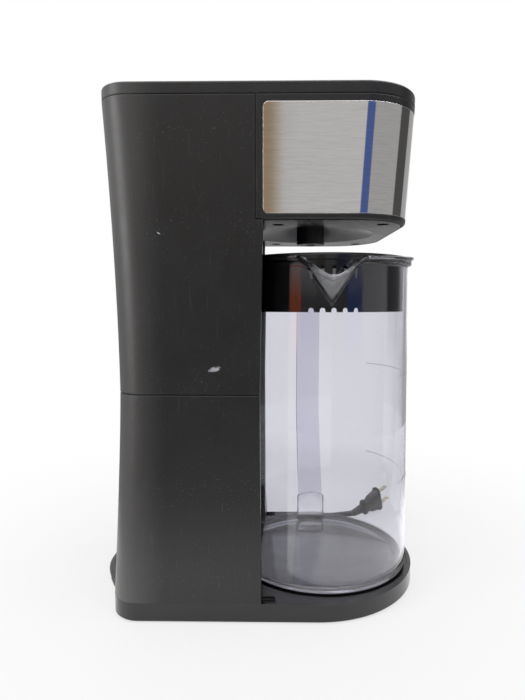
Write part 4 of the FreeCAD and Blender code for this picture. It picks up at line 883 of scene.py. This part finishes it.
def make_button(name, body):
    """A key: dished face, rounded rim, a guide flange behind the panel, and its stem."""
    face, back_x = button_middle(name)
    flange_x = face.x - FLANGE_BACK
    profile = [(back_x, 0), (back_x, STEM_R), (flange_x, STEM_R), (flange_x, BUTTON_R + FLANGE_SIZE),
               (flange_x + FLANGE_SIZE, BUTTON_R + FLANGE_SIZE), (flange_x + FLANGE_SIZE, BUTTON_R),
               (face.x - BUTTON_ROUND, BUTTON_R)]
    for i in range(1, 5):
        a = math.pi / 2 * i / 4
        profile.append((face.x - BUTTON_ROUND * (1 - math.sin(a)), BUTTON_R - BUTTON_ROUND * (1 - math.cos(a))))
    dish_r = BUTTON_R - BUTTON_RIM
    for i in range(7):
        r = dish_r * (1 - i / 6)
        profile.append((face.x - BUTTON_DISH * (1 - (r / dish_r) ** 2), r))
    mesh = bmesh.new()
    points = [(x, face.y, face.z + r) for x, r in profile]
    spin_outline(mesh, points, (0, face.y, face.z), Vector((1, 0, 0)), 0, 2 * math.pi, 64)
    piece = make_piece(name + "_cap", mesh, FINISHES["button_plastic"], body)
    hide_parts(name + "_button")


def add_disc(mesh, place, r, thickness=PRINT_THICKNESS, sides=24):
    """A flat printed dot that faces forward."""
    turn = Matrix.Rotation(math.pi / 2, 4, "Y")
    matrix = Matrix.Translation(place) @ turn
    bmesh.ops.create_cone(mesh, cap_ends=True, segments=sides, radius1=r, radius2=r, depth=thickness,
                          matrix=matrix)


def add_arc(mesh, place, r, width, start, end, thickness=PRINT_THICKNESS):
    """A flat printed ring or part of one; angles in degrees, clockwise seen from the front."""
    half = thickness / 2
    strip = [(-half, 0, r - width / 2), (half, 0, r - width / 2), (half, 0, r + width / 2),
             (-half, 0, r + width / 2), (-half, 0, r - width / 2)]
    points = [Vector(place) + Vector(p) for p in strip]
    spin_outline(mesh, points, place, Vector((1, 0, 0)), math.radians(start), math.radians(end - start), 28)
    bmesh.ops.holes_fill(mesh, edges=mesh.edges, sides=8)


def make_marks():
    """Plain signs on the keys: a ring and bar, three dots, and a drop."""
    sink = BUTTON_DISH - 0.1
    face, _ = button_middle("power")
    mesh = bmesh.new()
    place = face - Vector((sink, 0, 0))
    add_arc(mesh, place, 2.1, 0.45, 35, 325)
    bar = Matrix.Translation(place + Vector((0, 0, 1.75))) @ Matrix.Diagonal((PRINT_THICKNESS, 0.45, 2.0, 1))
    bmesh.ops.create_cube(mesh, size=1, matrix=bar)
    make_piece("power_sign", mesh, PRINT_WHITE, "power_key")

    face, _ = button_middle("strength")
    mesh = bmesh.new()
    for i, r in enumerate((0.4, 0.6, 0.8)):
        add_disc(mesh, face - Vector((sink, 2.1 * (1 - i), 0)), r)
    make_piece("strength_sign", mesh, PRINT_WHITE, "strength_key")

    face, _ = button_middle("clean")
    mesh = bmesh.new()
    place = face - Vector((sink, 0, 0.5))
    add_arc(mesh, place, 1.5, 0.42, 40, 320)
    for side in (-1, 1):
        leg = Matrix.Translation(place + Vector((0, side * 0.52, 1.85)))
        leg = leg @ Matrix.Rotation(side * math.radians(33), 4, "X")
        leg = leg @ Matrix.Diagonal((PRINT_THICKNESS, 0.42, 1.9, 1))
        bmesh.ops.create_cube(mesh, size=1, matrix=leg)
    make_piece("clean_sign", mesh, PRINT_WHITE, "clean_key")


for key, key_body in KEYS.items():
    make_button(key, key_body)
make_marks()


# ---------------------------------------------------------------- floor, lights and room

FLOOR_R = 0.62
FADE_FROM, FADE_TO = 0.144, 0.496       # between these distances the floor fades to white
FADE_NEAR = 0.68                        # how white it is already next to the object
MIRROR_FROM, MIRROR_TO = 0.18, 0.34     # between these distances what a gloss mirrors of it fades to dark
MIRROR_DARK = 0.75


def make_floor():
    mesh = bmesh.new()
    bmesh.ops.create_circle(mesh, cap_ends=True, segments=96, radius=FLOOR_R)
    data = bpy.data.meshes.new("floor")
    mesh.to_mesh(data)
    mesh.free()
    floor = bpy.data.objects.new("floor", data)
    bpy.context.scene.collection.objects.link(floor)
    material, shader = new_material("pale_floor")
    shader.inputs["Base Color"].default_value = (0.88, 0.88, 0.88, 1)
    shader.inputs["Roughness"].default_value = 0.9
    shader.inputs["Specular IOR Level"].default_value = 0.0
    coordinates = add_node(material, "ShaderNodeTexCoord")
    distance = material.node_tree.nodes.new("ShaderNodeVectorMath")
    distance.operation = "LENGTH"
    link(material, coordinates.outputs["Object"], distance.inputs[0])
    fade = ramp(material, distance.outputs["Value"], [(FADE_FROM, FADE_NEAR), (FADE_TO, 1.0)], smooth=True)
    rays = add_node(material, "ShaderNodeLightPath")
    mirrored = ramp(material, distance.outputs["Value"], [(MIRROR_FROM, 0.0), (MIRROR_TO, MIRROR_DARK)], smooth=True)
    mirrored = calculate(material, "MULTIPLY", mirrored, rays.outputs["Is Glossy Ray"])
    dark = add_node(material, "ShaderNodeEmission", Strength=0.0)
    dim = add_node(material, "ShaderNodeMixShader")
    link(material, mirrored, dim.inputs["Fac"])
    link(material, shader.outputs["BSDF"], dim.inputs[1])
    link(material, dark.outputs["Emission"], dim.inputs[2])
    seen = calculate(material, "MAXIMUM", rays.outputs["Is Camera Ray"], rays.outputs["Is Transmission Ray"])
    white = add_node(material, "ShaderNodeEmission", Strength=1.0)
    mix = add_node(material, "ShaderNodeMixShader")
    link(material, calculate(material, "MULTIPLY", fade, seen), mix.inputs["Fac"])
    link(material, dim.outputs["Shader"], mix.inputs[1])
    link(material, white.outputs["Emission"], mix.inputs[2])
    link(material, mix.outputs["Shader"], material.node_tree.nodes["Material Output"].inputs["Surface"])
    floor.data.materials.append(material)


# a plain room for the gloss to mirror: upright panels, each from one direction to another, in degrees from straight
# out of the column's side towards the front of the machine
BROWN = (0.4, 0.3, 0.2)
BLUE = (0.1, 0.15, 0.4)
RED = (0.8, 0.2, 0.1)
WORKTOP = (0.45, 0.45, 0.45)
CEILING = (0.85, 0.85, 0.85)
COVE = (4.0, 4.0, 4.0)       # a strip of light below the ceiling
UPPER_PANELS = [(-180, -150, 1.0), (-150, -10, 0.7), (-10, 1, BROWN), (1, 15, 0.7), (15, 30, BLUE),
                (30, 90, 0.5), (90, 120, 0.1), (120, 150, 0.5), (150, 180, 1.0)]
LOWER_PANELS = [(-180, -150, 1.0), (-150, -50, 0.4), (-50, -30, RED), (-30, 30, 0.15), (30, 50, BLUE),
                (50, 90, 0.5), (90, 120, 0.1), (120, 150, 0.4), (150, 180, 1.0)]


def panel_ramp(world, degrees, panels):
    """The tone of the panel in a direction, each panel's edge a degree soft."""
    share = calculate(world, "MULTIPLY_ADD", degrees, 1 / 360, 0.5)
    stops = [(0.5 + place / 360, tone) for start, end, tone in panels for place in (start + 0.5, end - 0.5)]
    return ramp(world, share, stops)


def make_room():
    """White all round for what is seen and lit; the gloss mirrors a room with pale and dark panels."""
    world = bpy.data.worlds.new("room")
    world.use_nodes = True
    bpy.context.scene.world = world
    background = world.node_tree.nodes["Background"]
    coordinates = add_node(world, "ShaderNodeTexCoord")
    split = add_node(world, "ShaderNodeSeparateXYZ")
    link(world, coordinates.outputs["Generated"], split.inputs["Vector"])
    ahead = calculate(world, "MULTIPLY", split.outputs["Y"], -1.0)
    degrees = calculate(world, "DEGREES", calculate(world, "ARCTAN2", split.outputs["X"], ahead))
    height = split.outputs["Z"]
    upper = panel_ramp(world, degrees, UPPER_PANELS)
    lower = panel_ramp(world, degrees, LOWER_PANELS)
    worktop = ramp(world, calculate(world, "ADD", height, 0.5), [(0.40, 1.0), (0.46, 0.0)])
    lower = blend_colours(world, worktop, lower, WORKTOP)
    panels = blend_colours(world, ramp(world, height, [(0.03, 0.0), (0.11, 1.0)]), lower, upper)
    ceiling = ramp(world, height, [(0.42, 0.0), (0.8, 1.0)])
    mirrored = blend_colours(world, ceiling, panels, CEILING)
    cove = ramp(world, height, [(0.68, 0.0), (0.75, 1.0), (0.86, 1.0), (0.93, 0.0)])
    mirrored = blend_colours(world, cove, mirrored, COVE)
    rays = add_node(world, "ShaderNodeLightPath")
    in_gloss = calculate(world, "GREATER_THAN", rays.outputs["Glossy Depth"], 0.5)
    straight = calculate(world, "MAXIMUM", rays.outputs["Is Camera Ray"], rays.outputs["Is Transmission Ray"])
    seen = calculate(world, "GREATER_THAN", calculate(world, "SUBTRACT", straight, in_gloss), 0.5)
    lit = blend_colours(world, in_gloss, (0.80, 0.80, 0.80), mirrored)
    link(world, blend_colours(world, seen, lit, (1.0, 1.0, 1.0)), background.inputs["Color"])
    background.inputs["Strength"].default_value = 1.0


def add_light(name, place, aim, size, power):
    data = bpy.data.lights.new(name, "AREA")
    data.shape = "RECTANGLE"
    data.size, data.size_y = size
    data.energy = power
    lamp = bpy.data.objects.new(name, data)
    lamp.location = place
    lamp.rotation_euler = (Vector(aim) - Vector(place)).to_track_quat("-Z", "Y").to_euler()
    bpy.context.scene.collection.objects.link(lamp)


make_floor()
make_room()
add_light("top_softbox", (0.1, -0.3, 1.5), (0, 0, 0.15), (1.2, 1.2), 5)
add_light("side_softbox", (-1.25, -0.75, 0.5), (0, 0, 0.2), (0.7, 0.9), 7)


# ---------------------------------------------------------------- the lead

def declare_cord():
    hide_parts("cord_machine_end", "cord_coil", "cord_plug_end")
    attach(mains_lead, "machine")


declare_cord()

bpy.context.scene.view_settings.view_transform = "Standard"
